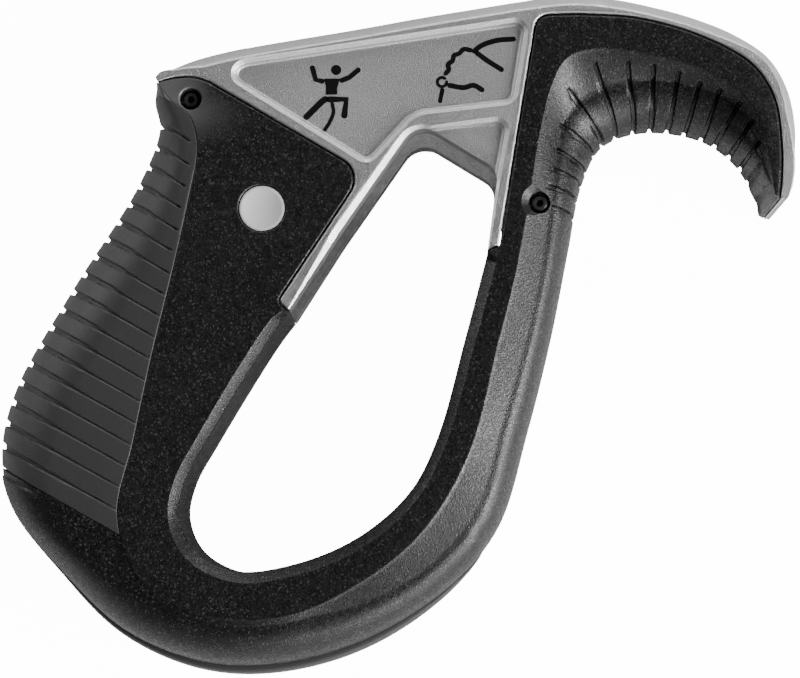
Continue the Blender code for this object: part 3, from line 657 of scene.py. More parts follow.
def make_piece(name, build, replaces=(), sharp=SHARP_ANGLE, cutters=(), adders=()):
    """An object from the builder, with cutters taken away, adders joined on, in metres on the root body."""
    obj = mesh_object(name, build)
    for tool, operation in [(t, "UNION") for t in adders] + [(t, "DIFFERENCE") for t in cutters]:
        modifier = obj.modifiers.new(tool.name, "BOOLEAN")
        modifier.operation = operation
        modifier.solver = "EXACT"
        modifier.object = tool
    if obj.modifiers:
        graph = bpy.context.evaluated_depsgraph_get()
        solid = bpy.data.meshes.new_from_object(obj.evaluated_get(graph))
        obj.modifiers.clear()
        obj.data = solid
        for tool in list(adders) + list(cutters):
            bpy.data.objects.remove(tool)
    mesh = obj.data
    mesh.transform(Matrix.Scale(MM, 4) @ Matrix.Translation(SHIFT))
    for polygon in mesh.polygons:
        polygon.use_smooth = True
    mesh.set_sharp_from_angle(angle=sharp)
    weighted = obj.modifiers.new("flat faces stay flat", "WEIGHTED_NORMAL")
    weighted.keep_sharp = True
    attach(obj, "root")
    if replaces:
        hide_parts(*replaces)
    PIECES[name] = obj
    print(name, "has", len(mesh.polygons), "faces")
    return obj


def mesh_object(name, build):
    """An object whose mesh the builder fills, in millimetres of the drawing."""
    mesh = bpy.data.meshes.new(name)
    bm = bmesh.new()
    build(bm)
    bmesh.ops.recalc_face_normals(bm, faces=bm.faces)
    bm.to_mesh(mesh)
    bm.free()
    obj = bpy.data.objects.new(name, mesh)
    bpy.context.scene.collection.objects.link(obj)
    return obj


print("pieces keep edges sharper than", round(math.degrees(SHARP_ANGLE)), "degrees crisp")

# %% [markdown]
# ## Builders that fill a mesh
# A loft skins a row of sections, a prism is the loft of one outline, and a turned shape is the loft
# of rings round an axis. The far side's pieces are the near ones mirrored.

# %% Lofts, prisms, mirrored and turned shapes
def loft(bm, sections):
    """Closed sections joined in order, with a cap at each end."""
    rings = [[bm.verts.new(co) for co in section] for section in sections]
    for ring, after in zip(rings, rings[1:]):
        count = len(ring)
        for i in range(count):
            j = (i + 1) % count
            bm.faces.new((ring[i], ring[j], after[j], after[i]))
    bm.faces.new(rings[0])
    bm.faces.new(list(reversed(rings[-1])))


def raised(outline, height):
    """The outline's points at this height."""
    return [(p.x, p.y, height) for p in outline]


def prism(outline, low, high):
    """A builder for the outline drawn out from low to high."""
    return lambda bm: loft(bm, [raised(outline, low), raised(outline, high)])


def mirrored(build):
    """The same shape on the far side of the parting plane."""
    def build_far(bm):
        build(bm)
        for vert in bm.verts:
            vert.co.z = 2 * MID - vert.co.z
    return build_far


def turned(centre, rings, sides=48):
    """A builder for a turned shape: rings of (radius, height, flats), where flats gives a polygon."""
    def build(bm):
        sections = []
        for radius, height, flats in rings:
            section = []
            for k in range(sides):
                angle = 2 * math.pi * k / sides
                reach = radius
                if flats:
                    half = math.pi / flats
                    reach = radius * math.cos(half) / math.cos((angle % (2 * half)) - half)
                x = centre[0] + reach * math.cos(angle)
                y = centre[1] + reach * math.sin(angle)
                section.append((x, y, height))
            sections.append(section)
        loft(bm, sections)
    return build


print("a prism from 0 to 2 has its lid at", raised([Vector((0, 0))], 2.0)[0][2], "mm")

# %% [markdown]
# ## The body's halves
# The pins and badges sit in round seats, cut out of each half with a small countersink so that
# the mouth of the hole shows a fine bright ring, as moulded seats do.

# %% Build the two halves of the body
HANDLE_PIN_AT = (-27.6, 31.0)
HOOK_PIN_AT = (18.6, 17.2)
PIN_RADIUS = 1.0
SEAT_RADIUS = 1.45
BADGE_RADIUS = 3.0
BADGE_TOP = MID + HALF - 0.1
BADGE_LOW = BADGE_TOP - 0.5
PIN_TOPS = {"handle": MID + HALF - 0.8, "hook": MID + HALF - 1.7}


def near_half(bm):
    """The near half of the body, a hollow shell open at the parting line."""
    loft(bm, [[(p.x, p.y, z) for p, z in shell_section(at)] for at in SHELL_STATIONS])


def seat_tool(name, centre, radius, floor, mouth, bore=0.0):
    """A cutter for a round seat with a countersunk mouth at height mouth, and a bore below it."""
    rings = [
        (radius, floor, 0), (radius, mouth - 0.15, 0),
        (radius + 0.15, mouth, 0), (radius + 1.15, mouth + 1.0, 0),
    ]
    if bore:
        rings = [(bore, MID - 1.0, 0), (bore, floor, 0)] + rings
    return mesh_object(name, turned(centre, rings))


def half_cutters(side):
    """The seats of one half, as cutters. The hook's seat starts lower, because the face slopes there."""
    top = MID + HALF
    bore = PIN_RADIUS + GAP
    tools = [
        seat_tool(side + " handle seat", HANDLE_PIN_AT, SEAT_RADIUS, top - 1.4, top, bore),
        seat_tool(side + " hook seat", HOOK_PIN_AT, SEAT_RADIUS, top - 2.3, top - 0.85, bore),
        seat_tool(side + " badge seat", BADGE_AT, BADGE_RADIUS + 0.12, BADGE_LOW - GAP, top),
    ]
    if side == "far":
        for tool in tools:
            for vert in tool.data.vertices:
                vert.co.z = 2 * MID - vert.co.z
            tool.data.flip_normals()
    return tools


near_body = make_piece("near_body", near_half, ["near_shell"],
                       cutters=half_cutters("near"))
far_body = make_piece("far_body", mirrored(near_half), ["far_shell"],
                      cutters=half_cutters("far"))

# %% [markdown]
# ## The grip pads
# The pads are a softer skin moulded over the handle's rounded side. They follow the same band,
# from the outer edge to just short of the crease, with all the grooves pressed in. Towards the
# outer edge the grooves open wider, which gives the handle its scalloped outline.

# %% Build the grip pads
PAD_GROOVE_DEPTH = 0.6
PAD_GROOVE_WIDENING = 0.24


def pad_section(at):
    """The closed section of the near pad at this distance along the crease."""
    share = band.share(at)
    rung = band.rung(at)
    edge, crease, _ = rung
    base = MID + PARTING
    width = (crease - edge).length
    top = MID + HALF
    rim = edge.lerp(crease, 1 - 1.5 * PARTING / width)
    outside = outer_skin(share, rung, 0.0, base, 20)
    shoulder, level = outside[-1]
    for k in range(1, 4):
        outside.append((shoulder.lerp(rim, k / 4), level + (top - level) * k / 4))
    outside.append((rim.lerp(edge, 0.12 / width), top - 0.02))
    outside.append((rim, top - EDGE_SOFTNESS))
    local = near_grooves(at, band.handle_at, HANDLE_GROOVES)
    outside = sink(outside, local, PAD_GROOVE_DEPTH, HANDLE_GROOVE, PAD_GROOVE_WIDENING)
    inside = outer_skin(share, rung, PAD_THICKNESS, base, 6)
    inside.append((rim, top - PAD_THICKNESS))
    return outside + list(reversed(inside))


def pad_stations():
    """Distances along the crease for the pad: even steps, and a few for every groove."""
    start, end = band.at_share(PAD_FROM - 0.02), band.at_share(PAD_TO + 0.02)
    wanted = [start + (end - start) * k / 110 for k in range(111)]
    fine = []
    for _, crease_at in band.handle_at:
        fine += groove_stations(crease_at, HANDLE_GROOVE)
        fine += [crease_at + side * step for step in (0.5, 0.62, 0.9) for side in (-1, 1)]
    return merge_stations(wanted, fine, start, end)


def near_pad(bm):
    """The near grip pad."""
    loft(bm, [[(p.x, p.y, z) for p, z in pad_section(at)] for at in pad_stations()])


make_piece("near_grip_pad", near_pad, ["near_grip"])
make_piece("far_grip_pad", mirrored(near_pad), ["far_grip"])

# %% [markdown]
# ## The bottom bumper
# A narrow strip closes the parting line along the bottom, where the device gets knocked. It stands
# a little proud in the middle of its sweep and runs flush at both ends.

# %% Build the bumper
def bumper(bm):
    """The bumper strip between the halves."""
    sections = []
    steps = 150
    start, end = band.at_share(BUMPER_FROM + 0.04), band.at_share(BUMPER_TO - 0.03)
    for k in range(steps + 1):
        part = k / steps
        at = start * (1 - part) + end * part
        edge, crease, _ = band.rung(at)
        out = (edge - crease).normalized()
        proud = 0.9 * BUMPER_PROUD * math.sin(math.pi * part) ** 0.6
        half = BUMPER_WIDTH / 2 - 0.06
        profile = [(-BUMPER_DEPTH, -half), (-0.1, -half)]
        for j in range(-8, 9):
            angle = math.pi / 2 * j / 8
            profile.append((proud * math.cos(angle) ** 0.55, half * math.sin(angle)))
        profile += [(-0.1, half), (-BUMPER_DEPTH, half)]
        section = []
        for shift, z in profile:
            section.append((edge.x + out.x * shift, edge.y + out.y * shift, MID + z))
        sections.append(section)
    loft(bm, sections)


make_piece("bumper_strip", bumper, ["bottom_bumper"])

# %% [markdown]
# ## The metal frame
# The frame is one forging: two cheeks joined by the spine, which runs on as the hook's outer rim.
# It is made as the forge and the mill would: a full-thickness blank with a crowned top edge and
# broken corners, then the rope slot is milled through, and two shallow pockets are sunk in each
# face. The blank is a stack of outlines. Each corner of the faces has its own chamfer width, wide
# round the carabiner window and fine beside the body, so every point carries that width along.

# %% The blank: a stack of outlines with a crown and edge chamfers
CROWN = 2.6
CROWN_POWER = 2.5
WINDOW_CHAMFER = 0.95
TOP_CHAMFER = 0.5
BORDER_CHAMFER = 0.22
SPINE_CHAMFER = 0.2
BORDER = 0.16
HANDLE_TIP = Vector((-32.2, 33.7))
HOOK_TIP = Vector((51.0, 17.5))


def frame_outline():
    """Points round the frame, each with its share of the crown and its chamfer width."""
    rows = []
    for point in Path(SPINE).points:
        at_handle = 1 - soft_step(point.x, -33.0, -26.0)
        at_tip = soft_step(point.x, 43.0, 50.0)
        above_tip = soft_step(point.y, 19.0, 30.0)
        crown = (1 - 0.75 * at_handle) * (1 - at_tip + 0.7 * at_tip * above_tip)
        rows.append((point, crown, SPINE_CHAMFER))
    hook_side = list(reversed(side_step(HOOK_EDGE, BORDER)))
    rows += [(point, 0.0, BORDER_CHAMFER) for point in hook_side]
    for point in WINDOW_FRAME_EDGE[1:-1]:
        rows.append((point, 0.0, window_chamfer(point)))
    for point in reversed(side_step(PANEL_EDGE, BORDER)):
        rows.append((point, 0.0, BORDER_CHAMFER))
    kept = []
    for point, crown, chamfer in rows:
        full = soft_step((point - HANDLE_TIP).length, 0.4, 3.0)
        full *= soft_step((point - HOOK_TIP).length, 0.3, 2.0)
        if not kept or (point - kept[-1][0]).length > 0.05:
            kept.append((point, crown * full, chamfer * (0.25 + 0.75 * full)))
    return kept


def window_chamfer(point):
    """The chamfer beside the window: wide along the left tongue and arch, fine on the right."""
    wide = 1 - soft_step(point.x, -1.5, 5.0)
    tip = soft_step((point - Vector((-14.5, 2.85))).length, 0.0, 1.2)
    return TOP_CHAMFER + (WINDOW_CHAMFER * (0.55 + 0.45 * tip) - TOP_CHAMFER) * wide


def blank(bm):
    """The frame before anything is milled."""
    rows = frame_outline()
    points = [row[0] for row in rows]
    inward = [a - b for a, b in zip(side_step(points, -1.0, closed=True), points)]
    upper = []
    for share in (0.0, 0.2, 0.35, 0.5, 0.62, 0.73, 0.82, 0.88):
        upper.append([(HALF * share, 0.0) for _ in rows])
    for down, inwards in ((1.2, 0.0), (0.9, 0.1), (0.1, 0.9), (0.0, 1.2)):
        upper.append([(HALF - down * chamfer, inwards * chamfer) for _, _, chamfer in rows])
    sections = []
    for side, levels in ((-1, list(reversed(upper[1:]))), (1, upper)):
        for level in levels:
            section = []
            for (point, crown, _), normal, (height, inset) in zip(rows, inward, level):
                lean = crown * CROWN * (height / HALF) ** CROWN_POWER + inset
                moved = point + normal * lean
                section.append((moved.x, moved.y, MID + side * height))
            sections.append(section)
    loft(bm, sections)


print("the frame's outline has", len(frame_outline()), "points")

# %% [markdown]
# ## Milling the frame
# A pocket's wall isn't straight down. It has a broken rim, a narrow sloped ledge, a steeper wall
# and a soft corner at the floor. Those steps draw the double line round each pocket. The cutter
# has the same profile, so a single cut leaves them all.

# %% Outlines of the slot, the pockets and the hidden lugs
POCKET_DEPTH = 1.1
UPPER_POCKET = [
    (-24.0, 34.6, 1.75), (-20.5, 36.3, 4.0), (17.4, 42.0, 1.7), (15.5, 30.3, 2.0),
    (2.2, 28.8, 4.0), (-4.0, 22.0, 1.9),
]
LOWER_POCKET = [(3.4, 27.2, 0), (14.9, 28.7, 1.7), (12.9, 18.0, 0), (7.0, 18.0, 0)]
CHANNEL = [
    (-20.5, 60.0, 0), (-20.5, 33.0, 1.5), (-5.6, 24.2, 1.0), (-5.9, 21.5, 1.0), (-18.5, 2.0, 0),
    (0.0, -6.0, 0), (15.0, 8.0, 0), (15.5, 24.0, 0), (17.2, 34.0, 2.0), (17.2, 60.0, 0),
]
HANDLE_LUG = [
    (-30.6, 35.0, 0), (-30.6, 29.6, 2.0), (-26.0, 27.6, 2.0), (-22.6, 33.0, 1.0), (-22.6, 36.6, 0),
]
HOOK_WEB = [
    (16.9, 44.0, 0), (16.9, 35.6, 2.0), (14.45, 21.0, 8.0), (13.5, 14.6, 1.0), (20.7, 14.6, 2.5),
    (20.9, 21.0, 4.0), (20.4, 31.5, 6.0), (24.4, 40.0, 3.0), (25.5, 44.0, 0),
]
POCKET_PROFILE = [  # (inwards from the rim, down from the face)
    (1.02, POCKET_DEPTH), (0.82, POCKET_DEPTH - 0.05), (0.66, POCKET_DEPTH - 0.2), (0.5, 0.48),
    (0.42, 0.38), (0.2, 0.26), (0.06, 0.14), (-0.08, 0.02), (-0.2, -0.1), (-0.9, -1.0),
]
print("the pockets are", POCKET_DEPTH, "mm deep and the slot is", CHANNEL_WIDTH, "mm wide")

# %% Cut the blank with its tools
def pocket_tool(name, outline, side):
    """A cutter for one pocket in the near or far face."""
    rim = rounded(outline, closed=True)
    levels = []
    for inset, depth in POCKET_PROFILE:
        levels.append(raised(side_step(rim, -inset, closed=True), MID + HALF - depth))
    build = lambda bm: loft(bm, levels)
    return mesh_object(name, build if side == "near" else mirrored(build))


def round_tool(name, centre, radius):
    """A cutter for a straight hole through the whole thickness."""
    return mesh_object(name, turned(centre, [(radius, -1.0, 0), (radius, THICKNESS + 1.0, 0)], 32))


def centred_block(name, outline, width):
    """The outline as a block of this width, halfway between the two faces."""
    return mesh_object(name, prism(rounded(outline, closed=True), MID - width / 2, MID + width / 2))


frame_adders = [
    centred_block("handle lug", HANDLE_LUG, WEB_WIDTH),
    centred_block("hook web", HOOK_WEB, WEB_WIDTH),
]
slot_tool = centred_block("rope slot", CHANNEL, CHANNEL_WIDTH)
frame_cutters = []
for side in ("near", "far"):
    for name, outline in (("upper", UPPER_POCKET), ("lower", LOWER_POCKET)):
        frame_cutters.append(pocket_tool(f"{side} {name} pocket", outline, side))
frame_bores = [
    round_tool("handle bore", HANDLE_PIN_AT, PIN_RADIUS + GAP),
    round_tool("hook bore", HOOK_PIN_AT, PIN_RADIUS + GAP),
]


def milled(bm):
    """The blank with the slot and pockets milled, before the lugs are added."""
    rough = mesh_object("rough frame", blank)
    for tool in [slot_tool] + frame_cutters:
        modifier = rough.modifiers.new(tool.name, "BOOLEAN")
        modifier.operation = "DIFFERENCE"
        modifier.solver = "EXACT"
        modifier.object = tool
    graph = bpy.context.evaluated_depsgraph_get()
    solid = bpy.data.meshes.new_from_object(rough.evaluated_get(graph))
    bm.from_mesh(solid)
    for done in [rough, slot_tool] + frame_cutters:
        bpy.data.objects.remove(done)


make_piece("metal_frame", milled, ["frame"], math.radians(24),
           cutters=frame_bores, adders=frame_adders)

# %% [markdown]
# ## Pins and badges
# Each pin is a short steel rod with a small socket in its end for the assembly tool. The badge is
# a plain disc with a raised rim. A turned shape is a stack of rings, so both come from one builder.

# %% Build the pins and badges
PIN_CHAMFER = 0.14


def pin_rings(top, low):
    """A pin with chamfered ends and a six-sided socket in each, as rings from the axis outwards."""
    socket = [(0.05, -0.62, 0), (0.46, -0.6, 6), (0.5, -0.06, 6), (0.56, 0.0, 6)]
    upper = [(radius, top + drop, flats) for radius, drop, flats in socket]
    lower = [(radius, low - drop, flats) for radius, drop, flats in socket]
    side = [
        (PIN_RADIUS - PIN_CHAMFER, top, 0), (PIN_RADIUS, top - PIN_CHAMFER, 0),
        (PIN_RADIUS, low + PIN_CHAMFER, 0), (PIN_RADIUS - PIN_CHAMFER, low, 0),
    ]
    return upper + side + list(reversed(lower))


for name, spot in (("handle", HANDLE_PIN_AT), ("hook", HOOK_PIN_AT)):
    pin_top = PIN_TOPS[name]
    rod = turned(spot, pin_rings(pin_top, THICKNESS - pin_top))
    make_piece(name + "_pin_rod", rod, [name + "_pin"])

BADGE_RINGS = [
    (0.05, BADGE_LOW, 0), (BADGE_RADIUS - 0.06, BADGE_LOW, 0), (BADGE_RADIUS, BADGE_LOW + 0.06, 0),
    (BADGE_RADIUS, BADGE_TOP - 0.1, 0), (BADGE_RADIUS - 0.05, BADGE_TOP - 0.03, 0),
    (BADGE_RADIUS - 0.12, BADGE_TOP, 0), (BADGE_RADIUS - 0.42, BADGE_TOP, 0),
    (BADGE_RADIUS - 0.5, BADGE_TOP - 0.06, 0), (0.05, BADGE_TOP - 0.06, 0),
]
badge = turned(BADGE_AT, BADGE_RINGS, 96)
make_piece("near_disc", badge, ["near_badge"])
make_piece("far_disc", mirrored(badge), ["far_badge"])

# %% [markdown]
# ## The marks in the pocket
# Two small signs tell the user which end of the rope goes where: a climber on one side and a hand
# on the other. They are filled with black. Each is drawn with strokes of even width, like a road
# sign, and laid as a thin film on the pocket's floor.

# %% Draw the signs with even strokes
POCKET_FLOOR = MID + HALF - POCKET_DEPTH
FILM = 0.03
BOLD = 1.35


def stroke(points, width, steps=5):
    """The outline of a line with round ends and joints, as a closed polygon."""
    pts = [Vector(p) for p in points]
    half = width * BOLD / 2
    left = side_step(pts, half)
    right = side_step(pts, -half)
    out = list(left)
    for centre, start, sweep in ((pts[-1], left[-1], -math.pi), (pts[0], right[0], -math.pi)):
        if centre is pts[0]:
            out += list(reversed(right))
        for k in range(1, steps):
            out.append(centre + Matrix.Rotation(sweep * k / steps, 2) @ (start - centre))
    return out


def arc(centre, radius, start, sweep, steps):
    """Points round a centre, from the angle start through sweep."""
    angles = [start + sweep * k / steps for k in range(steps + 1)]
    return [Vector(centre) + Vector((math.cos(a), math.sin(a))) * radius for a in angles]


def ring_dots(centre, radius, sides=28):
    """A round dot."""
    return arc(centre, radius, 0.0, 2 * math.pi, sides)[:-1]


CLIMBER = [
    ring_dots((-8.35, 35.0), 0.68),
    stroke([(-11.5, 35.3), (-11.05, 33.7), (-10.2, 33.5)], 0.5),
    stroke([(-7.6, 33.6), (-6.6, 34.0), (-5.4, 35.0)], 0.5),
    [Vector((-9.95, 33.85)), Vector((-7.85, 33.85)), Vector((-8.2, 32.6)),
     Vector((-8.2, 31.7)), Vector((-9.75, 31.7)), Vector((-9.7, 32.7))],
    stroke([(-12.3, 28.7), (-11.2, 29.8), (-10.2, 30.8), (-9.75, 31.1)], 0.62),
    stroke([(-9.2, 31.05), (-7.0, 31.05), (-7.25, 28.9)], 0.62),
    stroke(curve([(-8.85, 30.45), (-8.7, 29.3), (-9.2, 28.0), (-9.9, 26.9)], 6), 0.36),
]
FINGERS = [
    (9.5, 37.6), (8.6, 37.75), (8.0, 37.2), (7.3, 36.9), (7.1, 36.2), (6.5, 35.7), (6.6, 35.0), (6.2, 34.5),
]
ROPE_LOOP = arc((5.7, 33.35), 0.62, 0.9, 2 * math.pi * 0.86, 20)
HAND = [
    stroke(curve([(15.2, 39.1), (12.9, 38.9), (10.9, 38.2), (10.0, 37.5)], 6), 0.5),
    stroke(curve([(10.4, 37.2), (11.6, 36.3), (13.6, 35.0)], 6), 0.5),
    stroke(curve(FINGERS, 6), 0.46),
    stroke(ROPE_LOOP, 0.3),
    stroke(curve([(6.7, 32.9), (8.6, 32.6), (9.9, 32.9), (11.0, 32.3)], 6), 0.5),
    stroke([(5.75, 32.3), (5.45, 30.8)], 0.42),
]


def film(shapes):
    """A builder for the shapes as thin closed films on the pocket's floor."""
    def build(bm):
        for shape in shapes:
            loft(bm, [raised(shape, POCKET_FLOOR - 0.02), raised(shape, POCKET_FLOOR + FILM)])
    return build


make_piece("near_climber_mark", film(CLIMBER))
make_piece("near_hand_mark", film(HAND))
make_piece("far_climber_mark", mirrored(film(CLIMBER)))
make_piece("far_hand_mark", mirrored(film(HAND)))

# %% [markdown]
# ## Building a finish from nodes
# A finish is a small network: noise and other patterns are made from the place on the surface, and
# feed colour, roughness and bump. Long networks are easier to read when each node is made in one
# line, so two helpers come first: one makes a node, the other makes a reusable group with named
# sockets.

# %% Helpers for node networks
def add_node(tree, kind, inputs=None, **settings):
    """A node of this kind, with settings, and inputs that are values or other nodes' outputs."""
    node = tree.nodes.new(kind)
    for key, value in settings.items():
        setattr(node, key, value)
    for key, value in (inputs or {}).items():
        socket = node.inputs[key]
        if isinstance(value, bpy.types.NodeSocket):
            tree.links.new(value, socket)
        else:
            socket.default_value = value
    return node


def make_group(name, inputs, outputs):
    """A shader node group with float inputs {name: value} and outputs {name: type}."""
    group = bpy.data.node_groups.new(name, "ShaderNodeTree")
    for key, value in inputs.items():
        socket = group.interface.new_socket(key, in_out="INPUT", socket_type="NodeSocketFloat")
        socket.default_value = value
    for key, kind in outputs.items():
        group.interface.new_socket(key, in_out="OUTPUT", socket_type=kind)
    return group, group.nodes.new("NodeGroupInput"), group.nodes.new("NodeGroupOutput")


def place_group(tree, group, **inputs):
    """The group placed in a material, with its own values."""
    node = tree.nodes.new("ShaderNodeGroup")
    node.node_tree = group
    for key, value in inputs.items():
        node.inputs[key.replace("_", " ").capitalize()].default_value = value
    return node


def make_material(name):
    """A new material, its tree and its main shader."""
    material = bpy.data.materials.new(name)
    material.use_nodes = True
    return material, material.node_tree, material.node_tree.nodes["Principled BSDF"]


def math_node(tree, operation, a, b=0.5, clamp=False):
    """A maths node on two values or outputs, and its result."""
    return add_node(tree, "ShaderNodeMath", {0: a, 1: b}, operation=operation, use_clamp=clamp).outputs[0]


def remap(tree, value, low, high, to_low=0.0, to_high=1.0):
    """A value stretched from one range to another and held there."""
    inputs = {"Value": value, "From Min": low, "From Max": high, "To Min": to_low, "To Max": to_high}
    return add_node(tree, "ShaderNodeMapRange", inputs).outputs["Result"]


def mix_colour(tree, factor, a, b):
    """Two colours mixed by a factor."""
    node = add_node(tree, "ShaderNodeMix", data_type="RGBA")
    for key, value in (("Factor", factor), ("A", a), ("B", b)):
        socket = next(s for s in node.inputs if s.name == key and s.enabled)
        if isinstance(value, bpy.types.NodeSocket):
            tree.links.new(value, socket)
        else:
            socket.default_value = value
    return next(s for s in node.outputs if s.enabled)


def add_bump(tree, shader, height, strength, distance):
    """A bump from this height, at most distance in metres, on the shader's normal."""
    inputs = {"Height": height, "Strength": strength, "Distance": distance}
    bump = add_node(tree, "ShaderNodeBump", inputs)
    tree.links.new(bump.outputs["Normal"], shader.inputs["Normal"])


print("node helpers ready")

# %% [markdown]
# ## Effects that several finishes share
# Spark-eroded moulds and bead blasting both leave a fine even grain, so one group makes grain at
# any size. Handling wears and brightens every outer edge, so a second group finds convex edges and
# breaks them up with noise. A third lays faint smudges over large areas, which vary the gloss.

# %% Groups for grain, worn edges and smudges
grain_group, g_in, g_out = make_group(
    "fine grain",
    {"Grains per metre": 6000.0, "Contrast": 1.0},
    {"Height": "NodeSocketFloat", "Speck": "NodeSocketFloat"},
)
place = add_node(grain_group, "ShaderNodeTexCoord").outputs["Object"]
grains = g_in.outputs["Grains per metre"]
noise_inputs = {"Vector": place, "Scale": grains, "Detail": 2.0, "Roughness": 0.6}
fine = add_node(grain_group, "ShaderNodeTexNoise", noise_inputs)
cells = add_node(grain_group, "ShaderNodeTexVoronoi", {"Vector": place, "Scale": grains}, feature="F1")
uneven = math_node(grain_group, "ADD", fine.outputs[0], cells.outputs["Distance"])
height = math_node(grain_group, "MULTIPLY", uneven, g_in.outputs["Contrast"])
grain_group.links.new(height, g_out.inputs["Height"])
random_cell = add_node(grain_group, "ShaderNodeSeparateColor", {"Color": cells.outputs["Color"]}).outputs[0]
grain_group.links.new(random_cell, g_out.inputs["Speck"])

wear_group, w_in, w_out = make_group(
    "worn edges", {"Sharpness": 0.04, "Amount": 1.0}, {"Mask": "NodeSocketFloat"})
convex = add_node(wear_group, "ShaderNodeNewGeometry").outputs["Pointiness"]
above = math_node(wear_group, "SUBTRACT", convex, 0.5)
edge = math_node(wear_group, "DIVIDE", above, w_in.outputs["Sharpness"], clamp=True)
place = add_node(wear_group, "ShaderNodeTexCoord").outputs["Object"]
noise_inputs = {"Vector": place, "Scale": 900.0, "Detail": 3.0}
patchy = add_node(wear_group, "ShaderNodeTexNoise", noise_inputs).outputs[0]
broken = remap(wear_group, patchy, 0.35, 0.6, 0.35, 1.0)
worn = math_node(wear_group, "MULTIPLY", edge, broken)
mask = math_node(wear_group, "MULTIPLY", worn, w_in.outputs["Amount"], clamp=True)
wear_group.links.new(mask, w_out.inputs["Mask"])

smudge_group, s_in, s_out = make_group(
    "smudges", {"Patches per metre": 60.0, "Amount": 0.1}, {"Shift": "NodeSocketFloat"})
place = add_node(smudge_group, "ShaderNodeTexCoord").outputs["Object"]
noise_inputs = {"Vector": place, "Scale": s_in.outputs["Patches per metre"], "Detail": 4.0}
cloud = add_node(smudge_group, "ShaderNodeTexNoise", noise_inputs).outputs[0]
centred = math_node(smudge_group, "SUBTRACT", cloud, 0.5)
shift = math_node(smudge_group, "MULTIPLY", centred, s_in.outputs["Amount"])
smudge_group.links.new(shift, s_out.inputs["Shift"])
print("shared groups:", grain_group.name, "/", wear_group.name, "/", smudge_group.name)

# %% [markdown]
# ## Bead-blasted aluminium
# The forging is blasted with beads, which leaves a fine matt grain, and its outer edges then polish
# bright in use. Grain feeds the bump and a little of the colour, worn edges lighten the colour and
# lower the roughness, and smudges vary the gloss.

# %% Aluminium for the frame
ALUMINIUM_GRAINS = 6000.0


def aluminium():
    """Grey metal with a matt grain, brighter and smoother on its worn edges."""
    material, tree, shader = make_material("blasted aluminium")
    grain = place_group(tree, grain_group, grains_per_metre=ALUMINIUM_GRAINS)
    wear = place_group(tree, wear_group, sharpness=0.05, amount=0.8)
    smudge = place_group(tree, smudge_group, patches_per_metre=55.0, amount=0.14)
    mottle = remap(tree, grain.outputs["Height"], 0.3, 1.3, 0.0, 1.0)
    body = mix_colour(tree, mottle, (0.36, 0.36, 0.365, 1), (0.62, 0.62, 0.625, 1))
    colour = mix_colour(tree, wear.outputs["Mask"], body, (0.86, 0.86, 0.87, 1))
    tree.links.new(colour, shader.inputs["Base Color"])
    rough = math_node(tree, "ADD", smudge.outputs["Shift"], 0.45)
    polish = math_node(tree, "MULTIPLY", wear.outputs["Mask"], 0.2)
    rough = math_node(tree, "SUBTRACT", rough, polish, clamp=True)
    tree.links.new(rough, shader.inputs["Roughness"])
    add_bump(tree, shader, grain.outputs["Height"], 1.0, 0.00004)
    shader.inputs["Metallic"].default_value = 1.0
    return material


print("the aluminium's grains are", round(1000 / ALUMINIUM_GRAINS, 2), "mm wide")

# %% [markdown]
# ## Glass-filled nylon
# The body is moulded from nylon with short glass fibres. It is nearly black, but its eroded grain
# catches the light as fine pale specks, thick on a slope that faces the light and sparse on the
# flats. Most specks come from the bump and from a gloss that differs from grain to grain. A few
# are painted paler in the colour itself, as painted glints that stand in for the grain's sparkle.

# %% Nylon for the body
NYLON_GRAINS = 5400.0


def nylon():
    """Near-black plastic with painted pale glint specks, smoother where the satin number is high."""
    material, tree, shader = make_material("black nylon")
    grain = place_group(tree, grain_group, grains_per_metre=NYLON_GRAINS)
    smudge = place_group(tree, smudge_group, patches_per_metre=70.0, amount=0.12)
    wear = place_group(tree, wear_group, sharpness=0.09, amount=0.12)
    satin = add_node(tree, "ShaderNodeAttribute", attribute_name="satin").outputs["Fac"]
    rough_zone = math_node(tree, "SUBTRACT", 1.0, satin)
    # painted glints: sparse grains get a paler colour, which stands in for light sparkling off the grain
    painted_glint_specks = remap(tree, grain.outputs["Speck"], 0.84, 0.99, 0.0, 1.0)
    painted_glint_specks = math_node(tree, "MULTIPLY", painted_glint_specks, rough_zone)
    body = mix_colour(tree, painted_glint_specks, (0.0022, 0.0022, 0.0024, 1), (0.05, 0.05, 0.052, 1))
    body = mix_colour(tree, satin, body, (0.09, 0.09, 0.092, 1))
    colour = mix_colour(tree, wear.outputs["Mask"], body, (0.09, 0.09, 0.093, 1))
    tree.links.new(colour, shader.inputs["Base Color"])
    shader.inputs["Specular IOR Level"].default_value = 0.42
    rough = math_node(tree, "ADD", smudge.outputs["Shift"], 0.35)
    spread = remap(tree, grain.outputs["Speck"], 0.0, 1.0, 0.16, -0.16)
    rough = math_node(tree, "ADD", rough, math_node(tree, "MULTIPLY", spread, rough_zone), clamp=True)
    tree.links.new(rough, shader.inputs["Roughness"])
    depth = math_node(tree, "ADD", math_node(tree, "MULTIPLY", rough_zone, 0.8), 0.2)
    height = math_node(tree, "MULTIPLY", grain.outputs["Height"], depth)
    add_bump(tree, shader, height, 1.0, 0.00003)
    return material


print("the nylon's grains are", round(1000 / NYLON_GRAINS, 2), "mm wide")

# %% [markdown]
# ## Grip rubber
# The pads are smooth to the touch, a dark grey with a soft sheen that grows towards the silhouette.
# A very fine grain keeps them from looking like glass, and the ribs' edges are rubbed a little
# paler.

# %% Rubber for the grips and the bumper
RUBBER_GRAINS = 9000.0


